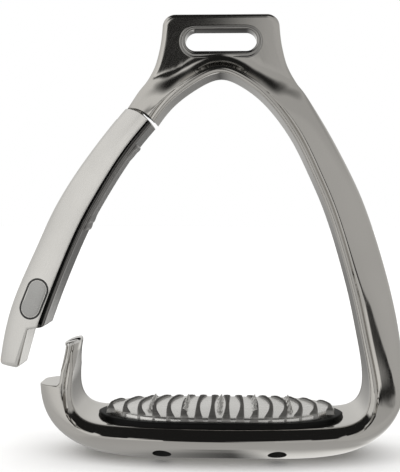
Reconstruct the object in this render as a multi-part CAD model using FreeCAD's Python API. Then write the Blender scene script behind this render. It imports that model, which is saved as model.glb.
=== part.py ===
import FreeCAD, Part
import math
import os

# Safety stirrup iron, millimetres.
# Origin: centre of the flat underside, below the middle of the tread.
# +Z up to the leather eye, +X towards the fixed branch, -Y is the front.

# ---- driving dimensions -------------------------------------------------
TOP_Z = 181.4                # top edge of the eye plate
PLATE_HALF_WIDTH = 24.1
PLATE_HALF_DEPTH = 4.6
PLATE_FOOT_Z = 153.8         # where the plate has run into the arch
PLATE_CORNER_R = 5.2
PLATE_EDGE_R = 1.8

EYE_CENTRE_Z = 170.6
EYE_LENGTH = 29.6            # clear slot, long way
EYE_HEIGHT = 8.8             # clear slot, short way
LINER_WALL = 0.9
LINER_LIP = 2.4              # how far the polished lip runs past the slot
LINER_PROUD = 0.35
LINER_DROP = 0.6             # the lip sits a little low on the slot

FLAT_Z = 0.0                 # underside
PLANED = 0.4                 # planed off the forging for that flat
DECK_Z = 15.0                # tread platform
RIM = 2.2                    # straight edge band beside the flat inner face

PIVOT_X = -37.9
PIVOT_Z = 137.5
REST_OPENING = 9.2           # degrees the arm stands open in the rest pose
MAX_OPENING = 60.0
PIN_R = 2.0
PIN_CLEARANCE = 0.05
PIN_HALF = 6.2
BUSH_R = 2.8
TONGUE_R = 4.3
TONGUE_HALF = 4.0
SLOT_GAP = 0.35
KNUCKLE_GAP = 0.45
SWEEP_STEPS = 8
LEG = (0.518, 0.855)         # direction of the leg at the joint, up to the crown
GRUB_LEN = 1.8
GRUB_KEY = 2.0
END_ARC_X = -38.6            # centre of the rounded joint line
END_ARC_Z = 128.9
ARM_END_R = 13.4
STUB_END_R = 13.95

SHELF_Z = 28.9
POST_FACE_X = -65.9          # outer face of the post at the shelf
POST_LEAN = 5.5              # degrees
POST_TOP_Z = 45.4            # post top on its outer face
POST_TOP_SLOPE = 16.0        # degrees, rising inwards
LATCH_PLATE_T = 1.6
MAGNET_R = 2.6
MAGNET_LEN = 4.0

ARM_GAP = 0.45               # clearance over the post and shelf when shut
TAB_GAP = 0.7                # clearance beside the post when shut
STRIKE_T = 1.4
LINER_STRIP_T = 3.2
INSERT_PROUD = 1.1
INSERT_SINK = 1.5
INSERT_HALF = 6.6
BADGE_X = -64.5              # badge centre with the arm shut
BADGE_Z = 58.9
BADGE_TILT = 12.5
BADGE_W = 9.6
BADGE_L = 17.6
BADGE_T = 0.8
BEZEL_W = 0.9
BEZEL_PROUD = 0.15

PLAN_STEPS = 40
PLAN_SIDE_POWER = 4.0
PLAN_END_POWER = 1.5
GASKET_HALF_X = 51.0
GASKET_HALF_Y = 25.2
GASKET_T = 2.8
GASKET_SEAT = 0.8
PAD_HALF_X = 47.6
PAD_HALF_Y = 22.4
PAD_T = 1.5
PAD_CROWN = 0.9
RIB_PITCH = 5.7
RIB_COUNT = 16
RIB_W = 1.5
RIB_H = 0.9
RIB_BOW = 3.0
SPIKE_COLUMNS = 5
SPIKE_PITCH = 14.25
SPIKE_ROWS = (-11.0, -3.7, 3.7, 11.0)
SPIKE_R = 1.15
SPIKE_TIP_R = 0.15
SPIKE_H = 2.0
SPIKE_ROOT = 0.1             # trimmed away where the pad's crown rises

SCREW_X = 23.0
SCREW_Y = 19.0
POCKET_R = 3.8
POCKET_TOP_Z = 9.4
HEAD_R = 3.3
HEAD_H = 3.6
HEAD_KEY = 3.0
SHANK_R = 1.75

EAST = FreeCAD.Vector(1, 0, 0)
NORTH = FreeCAD.Vector(0, 1, 0)
UP = FreeCAD.Vector(0, 0, 1)

# A station is (inner x, inner z, outer x, outer z, half depth, flat half
# width on the outside, roundness exponent, flare).
# Flare 1 is the thin plate with a hollow sweep out to the arch edge.
BRANCH = (
    (0.0, 156.5, 0.0, 166.0, 11.0, 3.6, 2.0, 1.0),
    (7.4, 154.0, 11.2, 163.4, 11.0, 3.8, 2.0, 1.0),
    (14.4, 149.3, 21.8, 158.9, 10.9, 4.2, 2.0, 0.85),
    (20.0, 143.9, 30.9, 153.0, 10.7, 4.2, 2.0, 0.45),
    (25.0, 137.7, 36.8, 145.2, 10.5, 3.0, 2.1, 0.12),
    (31.2, 128.0, 43.8, 133.9, 10.2, 2.0, 2.1, 0.0),
    (37.0, 116.0, 50.5, 121.6, 10.0, 2.0, 2.1, 0.0),
    (42.5, 103.5, 57.0, 108.3, 9.8, 2.0, 2.1, 0.0),
    (47.1, 90.3, 62.2, 94.6, 9.7, 2.0, 2.1, 0.0),
    (51.1, 76.6, 66.7, 80.3, 9.6, 2.0, 2.1, 0.0),
    (54.6, 63.0, 70.5, 66.0, 9.6, 2.0, 2.1, 0.0),
    (57.5, 49.0, 73.5, 51.0, 9.9, 2.2, 2.1, 0.0),
    (59.6, 38.0, 75.0, 37.8, 10.8, 2.6, 2.1, 0.0),
    (60.5, 30.5, 75.0, 27.5, 12.4, 3.2, 2.0, 0.0),
    (60.2, 24.2, 72.5, 17.4, 15.0, 4.2, 1.9, 0.0),
    (57.9, 18.9, 66.2, 9.2, 18.4, 5.6, 1.7, 0.0),
    (52.6, 15.9, 56.6, 3.5, 22.0, 7.4, 1.5, 0.0),
    (43.6, DECK_Z, 45.2, 0.8, 25.2, 9.4, 1.3, 0.0),
    (30.0, DECK_Z, 31.0, FLAT_Z - PLANED, 28.0, 11.4, 1.22, 0.0),
    (15.0, DECK_Z, 15.0, FLAT_Z - PLANED, 29.6, 12.0, 1.2, 0.0),
)

# Left leg of the arch, from the crown to just past the joint.
STUB = (
    (-7.7, 153.9, -11.4, 163.4, 11.0, 3.8, 2.0, 1.0),
    (-14.9, 149.3, -22.0, 158.9, 10.9, 4.2, 2.0, 0.85),
    (-21.1, 144.0, -31.4, 152.9, 10.7, 4.2, 2.0, 0.45),
    (-25.9, 138.0, -36.8, 145.4, 10.5, 3.0, 2.1, 0.12),
    (-29.8, 132.0, -41.6, 138.8, 10.3, 2.0, 2.1, 0.0),
    (-34.8, 124.6, -47.0, 131.0, 10.1, 2.0, 2.1, 0.0),
)

# The swinging arm, drawn shut.
ARM = (
    (-25.4, 141.0, -37.0, 147.8, 10.4, 2.0, 2.1, 0.0),
    (-32.0, 130.2, -43.6, 137.2, 10.2, 2.0, 2.1, 0.0),
    (-38.0, 118.6, -50.8, 124.3, 10.0, 2.0, 2.1, 0.0),
    (-43.4, 105.8, -57.0, 111.9, 9.8, 2.0, 2.1, 0.0),
    (-48.6, 91.5, -63.4, 96.0, 9.7, 2.0, 2.1, 0.0),
    (-52.5, 77.1, -67.7, 80.8, 9.6, 2.0, 2.1, 0.0),
    (-55.8, 62.8, -71.7, 66.2, 9.6, 2.0, 2.1, 0.0),
    (-58.6, 48.6, -74.8, 51.4, 9.7, 2.0, 2.1, 0.0),
    (-60.1, 38.0, -75.7, 39.2, 9.8, 2.0, 2.1, 0.0),
    (-60.6, 26.0, -75.8, 25.8, 9.8, 2.0, 2.1, 0.0),
)
SIDE_STEPS = 6


def mirrored(station):
    ix, iz, ox, oz, half, flat, power, flare = station
    return (-ix, iz, -ox, oz, half, flat, power, flare)


def side_points(thickness, half, flat, power, flare):
    """(distance out, half depth) down one side, rim to outer edge."""
    points = []
    for i in range(SIDE_STEPS + 1):
        angle = math.radians(90.0 * i / SIDE_STEPS)
        out = math.sin(angle) ** (2.0 / power)
        across = math.cos(angle) ** (2.0 / power) if i < SIDE_STEPS else 0.0
        round_half = flat + (half - flat) * across
        hollow = PLATE_HALF_DEPTH + (half - PLATE_HALF_DEPTH) * (1.0 - out) ** 2.2
        if i == SIDE_STEPS:
            hollow = flat
        depth = (1.0 - flare) * round_half + flare * min(hollow, half)
        points.append((RIM + (thickness - RIM) * out, depth))
    return points


def section(station, shrink=0.0):
    """Closed D-shaped wire: flat inner face, edge bands, swept outside."""
    ix, iz, ox, oz, half, flat, power, flare = station
    inner = FreeCAD.Vector(ix, 0, iz)
    out_dir = FreeCAD.Vector(ox - ix, 0, oz - iz)
    thickness = out_dir.Length - shrink
    out_dir.normalize()
    half = half - shrink

    def at(out, depth):
        return inner + out_dir * out + NORTH * depth

    side = side_points(thickness, half, flat, power, flare)
    outline = [at(out, -depth) for out, depth in side]
    outline.append(at(thickness, 0.0))
    outline.extend(at(out, depth) for out, depth in reversed(side))
    count = len(outline) - 1
    curve = Part.BSplineCurve()
    curve.interpolate(outline, Parameters=[i / count for i in range(count + 1)])
    low = at(0.0, -half + 0.5)
    high = at(0.0, half - 0.5)
    edges = [
        Part.LineSegment(low, at(0.5, -half)).toShape(),
        Part.LineSegment(at(0.5, -half), outline[0]).toShape(),
        curve.toShape(),
        Part.LineSegment(outline[-1], at(0.5, half)).toShape(),
        Part.LineSegment(at(0.5, half), high).toShape(),
        Part.LineSegment(high, low).toShape(),
    ]
    return Part.Wire(edges)


def sweep(stations, shrink=0.0):
    wires = [section(station, shrink) for station in stations]
    return Part.makeLoft(wires, True, False, False, 5)


def drum(x, z, radius, y0, y1):
    """Cylinder lying along Y."""
    return Part.makeCylinder(radius, y1 - y0, FreeCAD.Vector(x, y0, z), NORTH)


def prism(points, y0, y1):
    """Straight-sided block: an XZ outline pushed along Y."""
    corners = [FreeCAD.Vector(x, y0, z) for x, z in points]
    corners.append(corners[0])
    return Part.Face(Part.makePolygon(corners)).extrude(NORTH * (y1 - y0))


def swing(shape, degrees):
    """Turn about the hinge; positive opens the arm."""
    turned = shape.copy()
    turned.rotate(FreeCAD.Vector(PIVOT_X, 0, PIVOT_Z), NORTH, degrees)
    return turned


def obround_face(length, height, y):
    """Slot outline in the XZ plane, centred on the eye."""
    radius = height / 2.0
    half = length / 2.0 - radius
    z0 = EYE_CENTRE_Z - radius
    z1 = EYE_CENTRE_Z + radius
    a = FreeCAD.Vector(-half, y, z0)
    b = FreeCAD.Vector(half, y, z0)
    c = FreeCAD.Vector(half, y, z1)
    d = FreeCAD.Vector(-half, y, z1)
    right = FreeCAD.Vector(half + radius, y, EYE_CENTRE_Z)
    left = FreeCAD.Vector(-half - radius, y, EYE_CENTRE_Z)
    wire = Part.Wire([
        Part.LineSegment(a, b).toShape(),
        Part.Arc(b, right, c).toShape(),
        Part.LineSegment(c, d).toShape(),
        Part.Arc(d, left, a).toShape(),
    ])
    return Part.Face(wire)


def obround(length, height, y0, y1):
    return obround_face(length, height, y0).extrude(NORTH * (y1 - y0))


def along(origin, x_dir, z_dir, shape):
    """Place a shape built about the origin: local X to x_dir, Z to z_dir."""
    x_axis = FreeCAD.Vector(x_dir).normalize()
    z_axis = FreeCAD.Vector(z_dir).normalize()
    y_axis = z_axis.cross(x_axis)
    placed = shape.copy()
    placed.Placement = FreeCAD.Placement(
        origin, FreeCAD.Rotation(x_axis, y_axis, z_axis, "ZXY"))
    return placed


# ---- eye plate ----------------------------------------------------------
def eye_plate():
    """Flat plate with rounded top corners and sides that flare into the legs."""
    w = PLATE_HALF_WIDTH
    r = PLATE_CORNER_R
    y = -PLATE_HALF_DEPTH

    def point(x, z):
        return FreeCAD.Vector(x, y, z)

    def side_curve(sign):
        path = [(w + 6.7, PLATE_FOOT_Z), (w + 3.2, 160.0), (w + 1.7, 165.0),
                (w + 0.6, 170.5), (w, TOP_Z - r)]
        curve = Part.BSplineCurve()
        curve.interpolate([point(sign * x, z) for x, z in path])
        return curve.toShape()

    lean = r * (1.0 - math.sqrt(0.5))
    foot = [point(sx * x, z) for sx, x, z in (
        (1, w + 6.7, PLATE_FOOT_Z), (1, 20.0, 148.0), (1, 14.0, 151.5), (1, 7.0, 156.5),
        (1, 0.0, 158.6), (-1, 7.0, 156.5), (-1, 14.0, 151.5), (-1, 20.0, 148.0),
        (-1, w + 6.7, PLATE_FOOT_Z))]
    edges = [
        side_curve(1),
        Part.Arc(point(w, TOP_Z - r), point(w - lean, TOP_Z - lean), point(w - r, TOP_Z)).toShape(),
        Part.LineSegment(point(w - r, TOP_Z), point(r - w, TOP_Z)).toShape(),
        Part.Arc(point(r - w, TOP_Z), point(lean - w, TOP_Z - lean), point(-w, TOP_Z - r)).toShape(),
        side_curve(-1),
    ]
    edges.extend(Part.LineSegment(p, q).toShape() for p, q in zip(foot, foot[1:]))
    slab = Part.Face(Part.Wire(Part.__sortEdges__(edges))).extrude(NORTH * (2 * PLATE_HALF_DEPTH))
    rims = [e for e in slab.Edges
            if e.BoundBox.YLength < 0.01 and e.BoundBox.ZMax > 170.0]
    return slab.makeFillet(PLATE_EDGE_R, rims)


# ---- frame --------------------------------------------------------------
def full_ring():
    """Forged ring from the joint, round the foot opening, to the post."""
    base_left = [mirrored(s) for s in reversed(BRANCH[11:])]
    path = list(reversed(STUB)) + list(BRANCH) + base_left
    return sweep(path)


def post_line(height):
    """Point on the post's outer face, some height over the shelf."""
    lean = math.tan(math.radians(POST_LEAN))
    return POST_FACE_X + lean * height, SHELF_Z + height


def post_top_z(x, lift):
    slope = math.tan(math.radians(POST_TOP_SLOPE))
    return POST_TOP_Z + lift + slope * (x - POST_FACE_X)


def shelf_cut():
    """Space over the shelf, outside the post."""
    high = post_line(30.0)
    return prism([(POST_FACE_X, SHELF_Z), high, (-100.0, high[1]), (-100.0, SHELF_Z)], -20, 20)


def above_post(lift):
    """Everything over the sloped post top, lifted by lift."""
    return prism([
        (-100.0, post_top_z(-100.0, lift)), (-40.0, post_top_z(-40.0, lift)),
        (-40.0, 75.0), (-100.0, 75.0)], -20, 20)


def tongue():
    """Central hinge knuckle with its web up into the stub."""
    knuckle = drum(PIVOT_X, PIVOT_Z, TONGUE_R, -TONGUE_HALF, TONGUE_HALF)
    web = web_block(TONGUE_R, 12.0, TONGUE_HALF)
    return knuckle.fuse(web)


def web_block(half_width, length, half_depth):
    """Block from the pivot up the leg, as wide as the knuckle."""
    dx, dz = LEG
    corners = []
    for along_leg, across in ((0, -1), (length, -1), (length, 1), (0, 1)):
        x = PIVOT_X + dx * along_leg + dz * across * half_width
        z = PIVOT_Z + dz * along_leg - dx * across * half_width
        corners.append((x, z))
    return prism(corners, -half_depth, half_depth)


def plan_outline(half_x, half_y, z):
    """Straight-sided oblong running to a soft point at each end, at height z."""
    points = []
    for i in range(PLAN_STEPS):
        angle = 2.0 * math.pi * i / PLAN_STEPS
        c = math.cos(angle)
        s = math.sin(angle)
        x = half_x * math.copysign(abs(c) ** (2.0 / PLAN_SIDE_POWER), c)
        y = half_y * math.copysign(abs(s) ** (2.0 / PLAN_END_POWER), s)
        points.append(FreeCAD.Vector(x, y, z))
    curve = Part.BSplineCurve()
    curve.interpolate(points, PeriodicFlag=True)
    return Part.Wire([curve.toShape()])


def plan_slab(half_x, half_y, z0, z1):
    return Part.Face(plan_outline(half_x, half_y, z0)).extrude(UP * (z1 - z0))


def screw_spots():
    for sx in (-1, 1):
        for sy in (-1, 1):
            yield sx * SCREW_X, sy * SCREW_Y


def post_axis_point(depth):
    """A point under the middle of the post's sloped top."""
    x = POST_FACE_X + 4.6
    z = post_top_z(x, 0.0)
    slope = math.radians(POST_TOP_SLOPE)
    return FreeCAD.Vector(x + depth * math.sin(slope), 0, z - depth * math.cos(slope))


def post_normal():
    slope = math.radians(POST_TOP_SLOPE)
    return FreeCAD.Vector(-math.sin(slope), 0, math.cos(slope))


def hex_ring(key):
    radius = key / math.sqrt(3.0)
    return [(radius * math.cos(math.radians(60 * k)), radius * math.sin(math.radians(60 * k)))
            for k in range(6)]


def hex_bar(x, z, key, y0, y1):
    """Hexagonal bar along Y."""
    return prism([(x + a, z + b) for a, b in hex_ring(key)], y0, y1)


def hex_post(x, y, key, z0, z1):
    """Hexagonal bar along Z."""
    corners = [FreeCAD.Vector(x + a, y + b, z0) for a, b in hex_ring(key)]
    corners.append(corners[0])
    return Part.Face(Part.makePolygon(corners)).extrude(UP * (z1 - z0))


def strip_sweep(start, stop, half):
    """Rectangular strip following the arm's inner face."""
    wires = []
    for ix, iz, ox, oz, *rest in ARM:
        inner = FreeCAD.Vector(ix, 0, iz)
        out_dir = FreeCAD.Vector(ox - ix, 0, oz - iz).normalize()
        corners = [inner + out_dir * out + NORTH * y
                   for out, y in ((start, -half), (start, half), (stop, half), (stop, -half))]
        corners.append(corners[0])
        wires.append(Part.makePolygon(corners))
    return Part.makeLoft(wires, True, False, False, 5)


def badge_prism(width, length):
    """Upright obround through the front half of the arm, tilted to follow it."""
    radius = width / 2.0
    half = length / 2.0 - radius
    y = -20.0
    a = FreeCAD.Vector(-radius, y, -half)
    b = FreeCAD.Vector(radius, y, -half)
    c = FreeCAD.Vector(radius, y, half)
    d = FreeCAD.Vector(-radius, y, half)
    wire = Part.Wire([
        Part.LineSegment(b, c).toShape(),
        Part.Arc(c, FreeCAD.Vector(0, y, half + radius), d).toShape(),
        Part.LineSegment(d, a).toShape(),
        Part.Arc(a, FreeCAD.Vector(0, y, -half - radius), b).toShape(),
    ])
    block = Part.Face(wire).extrude(NORTH * 20.0)
    block.rotate(FreeCAD.Vector(0, 0, 0), NORTH, BADGE_TILT)
    block.translate(FreeCAD.Vector(BADGE_X, 0, BADGE_Z))
    return block


def crown_z(y, edge_z):
    return edge_z + PAD_CROWN * (1.0 - (y / PAD_HALF_Y) ** 2)


def crown(edge_z):
    """Everything under the pad's gently arched top."""
    radius = (PAD_HALF_Y ** 2 + PAD_CROWN ** 2) / (2.0 * PAD_CROWN)
    centre = FreeCAD.Vector(-60.0, 0, edge_z + PAD_CROWN - radius)
    roller = Part.makeCylinder(radius, 120.0, centre, EAST)
    return roller.common(Part.makeBox(120.0, 60.0, 20.0, FreeCAD.Vector(-60.0, -30.0, 5.0)))


def rib_bar(index):
    """One tread rib, bowed away from the middle of the pad."""
    side = (index - (RIB_COUNT - 1) / 2.0) / (RIB_COUNT / 2.0)
    x = (index - (RIB_COUNT - 1) / 2.0) * RIB_PITCH
    bow = RIB_BOW * side
    y = PAD_HALF_Y + 2.0

    def bowed(offset):
        return [FreeCAD.Vector(x + offset - bow, -y, 5.0), FreeCAD.Vector(x + offset + bow, 0, 5.0),
                FreeCAD.Vector(x + offset - bow, y, 5.0)]

    left = bowed(-RIB_W / 2.0)
    right = bowed(RIB_W / 2.0)
    wire = Part.Wire([
        Part.Arc(*left).toShape(),
        Part.LineSegment(left[2], right[2]).toShape(),
        Part.Arc(*reversed(right)).toShape(),
        Part.LineSegment(right[0], left[0]).toShape(),
    ])
    return Part.Face(wire).extrude(UP * 30.0)


ring = full_ring()
stub_gap = drum(END_ARC_X, END_ARC_Z, STUB_END_R, -20, 20)
stub_gap = stub_gap.fuse(drum(PIVOT_X, PIVOT_Z, 5.9, -20, 20))
below_joint = prism([(-60.0, 143.0), (-40.5, 143.0), (-25.5, 134.0), (-25.5, 115.0),
                     (-60.0, 115.0)], -20, 20)
frame = ring.fuse(eye_plate())
frame = frame.cut(stub_gap)
frame = frame.cut(below_joint)
frame = frame.cut(shelf_cut())
frame = frame.cut(above_post(-LATCH_PLATE_T))
frame = frame.fuse(tongue().common(ring))
frame = frame.cut(drum(PIVOT_X, PIVOT_Z, BUSH_R, -20, 20))
eye_hole = obround(EYE_LENGTH + 2 * LINER_WALL, EYE_HEIGHT + 2 * LINER_WALL, -20, 20)
frame = frame.cut(eye_hole)
frame = frame.cut(plan_slab(GASKET_HALF_X, GASKET_HALF_Y, DECK_Z - GASKET_SEAT, DECK_Z + 4.0))
for x, y in screw_spots():
    pocket = Part.makeCylinder(POCKET_R, POCKET_TOP_Z + 5.0, FreeCAD.Vector(x, y, -5.0))
    shank = Part.makeCylinder(SHANK_R, 30.0, FreeCAD.Vector(x, y, -5.0))
    frame = frame.cut(pocket).cut(shank)
magnet_seat = Part.makeCylinder(MAGNET_R, MAGNET_LEN, post_axis_point(LATCH_PLATE_T), post_normal() * -1)
frame = frame.cut(magnet_seat)
frame = frame.common(Part.makeBox(200, 100, 250, FreeCAD.Vector(-100, -50, FLAT_Z)))
frame = frame.removeSplitter()

# ---- eye liner ----------------------------------------------------------
sleeve_half = PLATE_HALF_DEPTH + LINER_PROUD
liner = obround(EYE_LENGTH + 2 * LINER_WALL, EYE_HEIGHT + 2 * LINER_WALL, -sleeve_half, sleeve_half)
for y0, y1 in ((-sleeve_half, -PLATE_HALF_DEPTH), (PLATE_HALF_DEPTH, sleeve_half)):
    lip = obround(EYE_LENGTH + 2 * LINER_LIP, EYE_HEIGHT + 2 * LINER_LIP, y0, y1)
    lip.translate(FreeCAD.Vector(0, 0, -LINER_DROP))
    liner = liner.fuse(lip)
liner = liner.cut(obround(EYE_LENGTH, EYE_HEIGHT, -20, 20)).removeSplitter()
mouth = [e for e in liner.Edges
         if abs(abs(e.BoundBox.YMin) - sleeve_half) < 0.01 and e.BoundBox.YLength < 0.01
         and e.BoundBox.ZMin > EYE_CENTRE_Z - EYE_HEIGHT / 2 - 0.1
         and e.BoundBox.ZMax < EYE_CENTRE_Z + EYE_HEIGHT / 2 + 0.1]
liner = liner.makeFillet(LINER_WALL * 0.9, mouth).cut(frame)

# ---- post top -----------------------------------------------------------
latch_plate = ring.common(above_post(-LATCH_PLATE_T)).cut(above_post(0.0))
latch_plate = latch_plate.cut(shelf_cut())
latch_plate = latch_plate.common(Part.makeBox(40, 40, 40, FreeCAD.Vector(-80, -20, 30)))
post_magnet = Part.makeCylinder(
    MAGNET_R, MAGNET_LEN, post_axis_point(LATCH_PLATE_T), post_normal() * -1)

# ---- hinge --------------------------------------------------------------
bush = drum(PIVOT_X, PIVOT_Z, BUSH_R, -TONGUE_HALF, TONGUE_HALF)
bush = bush.cut(drum(PIVOT_X, PIVOT_Z, PIN_R + PIN_CLEARANCE, -20, 20))
pin = drum(PIVOT_X, PIVOT_Z, PIN_R, -PIN_HALF, PIN_HALF)
grub = drum(PIVOT_X, PIVOT_Z, PIN_R, PIN_HALF, PIN_HALF + GRUB_LEN)
grub = grub.cut(hex_bar(PIVOT_X, PIVOT_Z, GRUB_KEY, PIN_HALF + 0.4, 20.0))

# ---- arm, drawn shut ----------------------------------------------------
arm = sweep(ARM)
leg_x, leg_z = LEG
chord = [(END_ARC_X + sx * 40 * leg_z - d * 120 * leg_x, END_ARC_Z - sx * 40 * leg_x - d * 120 * leg_z)
         for sx, d in ((-1, 0), (1, 0), (1, 1), (-1, 1))]
keep = drum(END_ARC_X, END_ARC_Z, ARM_END_R, -20, 20).fuse(prism(chord, -20, 20))
arm = arm.common(keep)
clear = TONGUE_HALF + SLOT_GAP
arm = arm.cut(drum(PIVOT_X, PIVOT_Z, TONGUE_R + KNUCKLE_GAP, -clear, clear))
for step in range(SWEEP_STEPS + 1):
    turn = (REST_OPENING + MAX_OPENING) * step / SWEEP_STEPS
    arm = arm.cut(swing(web_block(TONGUE_R + KNUCKLE_GAP, 16.0, clear), -turn))
arm = arm.cut(drum(PIVOT_X, PIVOT_Z, PIN_R, -PIN_HALF, 20))

over_shelf = SHELF_Z + ARM_GAP
arm = arm.cut(prism([(-100.0, over_shelf), (-40.0, over_shelf), (-40.0, 0.0), (-100.0, 0.0)], -20, 20))
face_x = POST_FACE_X - TAB_GAP
lean_x = post_line(POST_TOP_Z - SHELF_Z)[0] - TAB_GAP
recess = [(face_x, SHELF_Z - 5.0), (lean_x, post_top_z(lean_x, ARM_GAP)),
          (-40.0, post_top_z(-40.0, ARM_GAP)), (-40.0, SHELF_Z - 5.0)]
arm = arm.cut(prism(recess, -20, 20))
strike_zone = [(lean_x, post_top_z(lean_x, ARM_GAP - 1.0)), (lean_x, post_top_z(lean_x, ARM_GAP + STRIKE_T)),
               (-40.0, post_top_z(-40.0, ARM_GAP + STRIKE_T)), (-40.0, post_top_z(-40.0, ARM_GAP - 1.0))]
strike = arm.common(prism(strike_zone, -20, 20))
arm = arm.cut(strike)

strip = strip_sweep(-3.0, LINER_STRIP_T, 14.0)
arm_liner = arm.common(strip)
arm_shell = arm.cut(strip)

insert_span = prism([(-20.0, 131.5), (-45.0, 121.0), (-62.0, 93.0), (-38.0, 88.5)], -20, 20)
insert_raw = strip_sweep(-INSERT_PROUD, INSERT_SINK, INSERT_HALF)
scallops = [drum(x, z, 3.2, -20, 20) for x, z in ((-29.2, 129.7), (-45.6, 88.9))]
insert = insert_raw.common(insert_span).cut(scallops[0]).cut(scallops[1])
pocket = strip_sweep(-3.0, INSERT_SINK, INSERT_HALF + 0.3).common(insert_span)
arm_liner = arm_liner.cut(pocket)

arm_magnet = Part.makeCylinder(
    MAGNET_R, MAGNET_LEN, post_axis_point(-ARM_GAP - STRIKE_T), post_normal())
arm_shell = arm_shell.cut(arm_magnet)
arm_liner = arm_liner.cut(arm_magnet)

badge_zone = badge_prism(BADGE_W, BADGE_L)
badge_core = badge_prism(BADGE_W - 2 * BEZEL_W, BADGE_L - 2 * BEZEL_W)
inner_arm = sweep(ARM, BADGE_T)
bezel_full = sweep(ARM, -BEZEL_PROUD).common(badge_zone).cut(inner_arm)
badge_full = arm_shell.common(badge_core).cut(inner_arm)
arm_liner = arm_liner.cut(badge_zone)
arm_shell = arm_shell.cut(arm_shell.common(badge_zone).cut(inner_arm))
bezel = bezel_full.cut(badge_core)
strike = strike.cut(badge_zone)

# ---- tread --------------------------------------------------------------
seat_z = DECK_Z - GASKET_SEAT
gasket = plan_slab(GASKET_HALF_X, GASKET_HALF_Y, seat_z, seat_z + GASKET_T)
pad_z = seat_z + GASKET_T
pad = plan_slab(PAD_HALF_X, PAD_HALF_Y, pad_z, pad_z + 6.0).common(crown(pad_z + PAD_T))
rib_zone = plan_slab(PAD_HALF_X - 0.6, PAD_HALF_Y - 0.4, pad_z + 0.6, pad_z + 8.0)
rib_zone = rib_zone.common(crown(pad_z + PAD_T + RIB_H)).cut(crown(pad_z + PAD_T))
ribs = Part.makeCompound([rib_bar(i) for i in range(RIB_COUNT)]).common(rib_zone)
spikes = None
spike_wells = []
for i in range(SPIKE_COLUMNS):
    x = (i - (SPIKE_COLUMNS - 1) / 2.0) * SPIKE_PITCH
    for y in SPIKE_ROWS:
        base = crown_z(y, pad_z + PAD_T)
        cone = Part.makeCone(SPIKE_R, SPIKE_TIP_R, SPIKE_H, FreeCAD.Vector(x, y, base - SPIKE_ROOT))
        spikes = cone if spikes is None else spikes.fuse(cone)
        spike_wells.append(Part.makeCylinder(SPIKE_R + 0.05, 6.0, FreeCAD.Vector(x, y, base - 2.0)))
spikes = spikes.cut(crown(pad_z + PAD_T))
ribs = ribs.cut(Part.makeCompound(spike_wells))
screws = None
for x, y in screw_spots():
    head = Part.makeCylinder(HEAD_R, HEAD_H, FreeCAD.Vector(x, y, POCKET_TOP_Z - HEAD_H))
    key = hex_post(x, y, HEAD_KEY, POCKET_TOP_Z - HEAD_H - 1.0, POCKET_TOP_Z - HEAD_H + 2.0)
    tip_z = pad_z + 1.1
    shank = Part.makeCylinder(SHANK_R, tip_z - POCKET_TOP_Z, FreeCAD.Vector(x, y, POCKET_TOP_Z))
    screw = head.fuse(shank).cut(key)
    screws = screw if screws is None else screws.fuse(screw)
    hole = Part.makeCylinder(SHANK_R, tip_z, FreeCAD.Vector(x, y, 0))
    gasket = gasket.cut(hole)
    pad = pad.cut(hole)

# ---- write --------------------------------------------------------------
fixed_parts = {
    "frame": frame,
    "eye_liner": liner,
    "latch_plate": latch_plate,
    "post_magnet": post_magnet,
    "hinge_bush": bush,
    "pad_gasket": gasket,
    "tread_pad": pad,
    "tread_ribs": ribs,
    "tread_spikes": spikes,
    "tread_screws": screws,
}
swinging_parts = {
    "arm_shell": arm_shell,
    "arm_liner": arm_liner,
    "arm_insert": insert,
    "arm_strike_plate": strike,
    "arm_magnet": arm_magnet,
    "badge_plate": badge_full,
    "badge_bezel": bezel,
    "hinge_pin": pin,
    "hinge_grub": grub,
}
os.makedirs("parts", exist_ok=True)
for name, shape in fixed_parts.items():
    shape.exportStep("parts/" + name + ".step")
for name, shape in swinging_parts.items():
    swing(shape, REST_OPENING).exportStep("parts/" + name + ".step")
for name, shape in list(fixed_parts.items()) + list(swinging_parts.items()):
    print(name, shape.isValid(), len(shape.Solids), round(shape.Volume, 1))
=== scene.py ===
import math

import bmesh
import bpy
import numpy as np
from mathutils import Matrix, Vector
from mathutils.kdtree import KDTree


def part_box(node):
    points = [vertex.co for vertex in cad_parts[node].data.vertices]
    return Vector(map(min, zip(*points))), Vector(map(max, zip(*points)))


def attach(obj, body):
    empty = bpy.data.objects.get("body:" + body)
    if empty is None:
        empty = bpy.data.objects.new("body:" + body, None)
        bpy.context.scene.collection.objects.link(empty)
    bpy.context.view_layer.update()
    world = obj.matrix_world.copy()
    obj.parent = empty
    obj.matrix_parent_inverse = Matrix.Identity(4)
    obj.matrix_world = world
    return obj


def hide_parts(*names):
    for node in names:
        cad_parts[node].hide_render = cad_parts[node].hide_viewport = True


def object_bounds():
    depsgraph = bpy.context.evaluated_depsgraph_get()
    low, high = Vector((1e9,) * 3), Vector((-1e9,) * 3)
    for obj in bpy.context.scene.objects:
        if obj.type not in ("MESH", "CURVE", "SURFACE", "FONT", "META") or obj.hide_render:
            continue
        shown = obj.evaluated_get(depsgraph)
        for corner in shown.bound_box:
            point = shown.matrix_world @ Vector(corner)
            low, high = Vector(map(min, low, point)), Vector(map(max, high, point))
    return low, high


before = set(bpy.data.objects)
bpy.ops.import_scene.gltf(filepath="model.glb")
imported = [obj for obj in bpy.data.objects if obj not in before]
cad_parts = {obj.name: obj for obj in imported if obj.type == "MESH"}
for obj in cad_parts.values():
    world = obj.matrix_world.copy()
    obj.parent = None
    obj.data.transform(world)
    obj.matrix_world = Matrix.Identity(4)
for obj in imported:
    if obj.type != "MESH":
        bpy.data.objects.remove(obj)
cad_low, cad_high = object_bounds()

# Shapes are worked out in millimetres, in the frame's own axes: X across, Y
# deep with the front at -Y, Z up. They become metres when a mesh is made.
MM = 0.001
TINY = 1e-6

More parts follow.
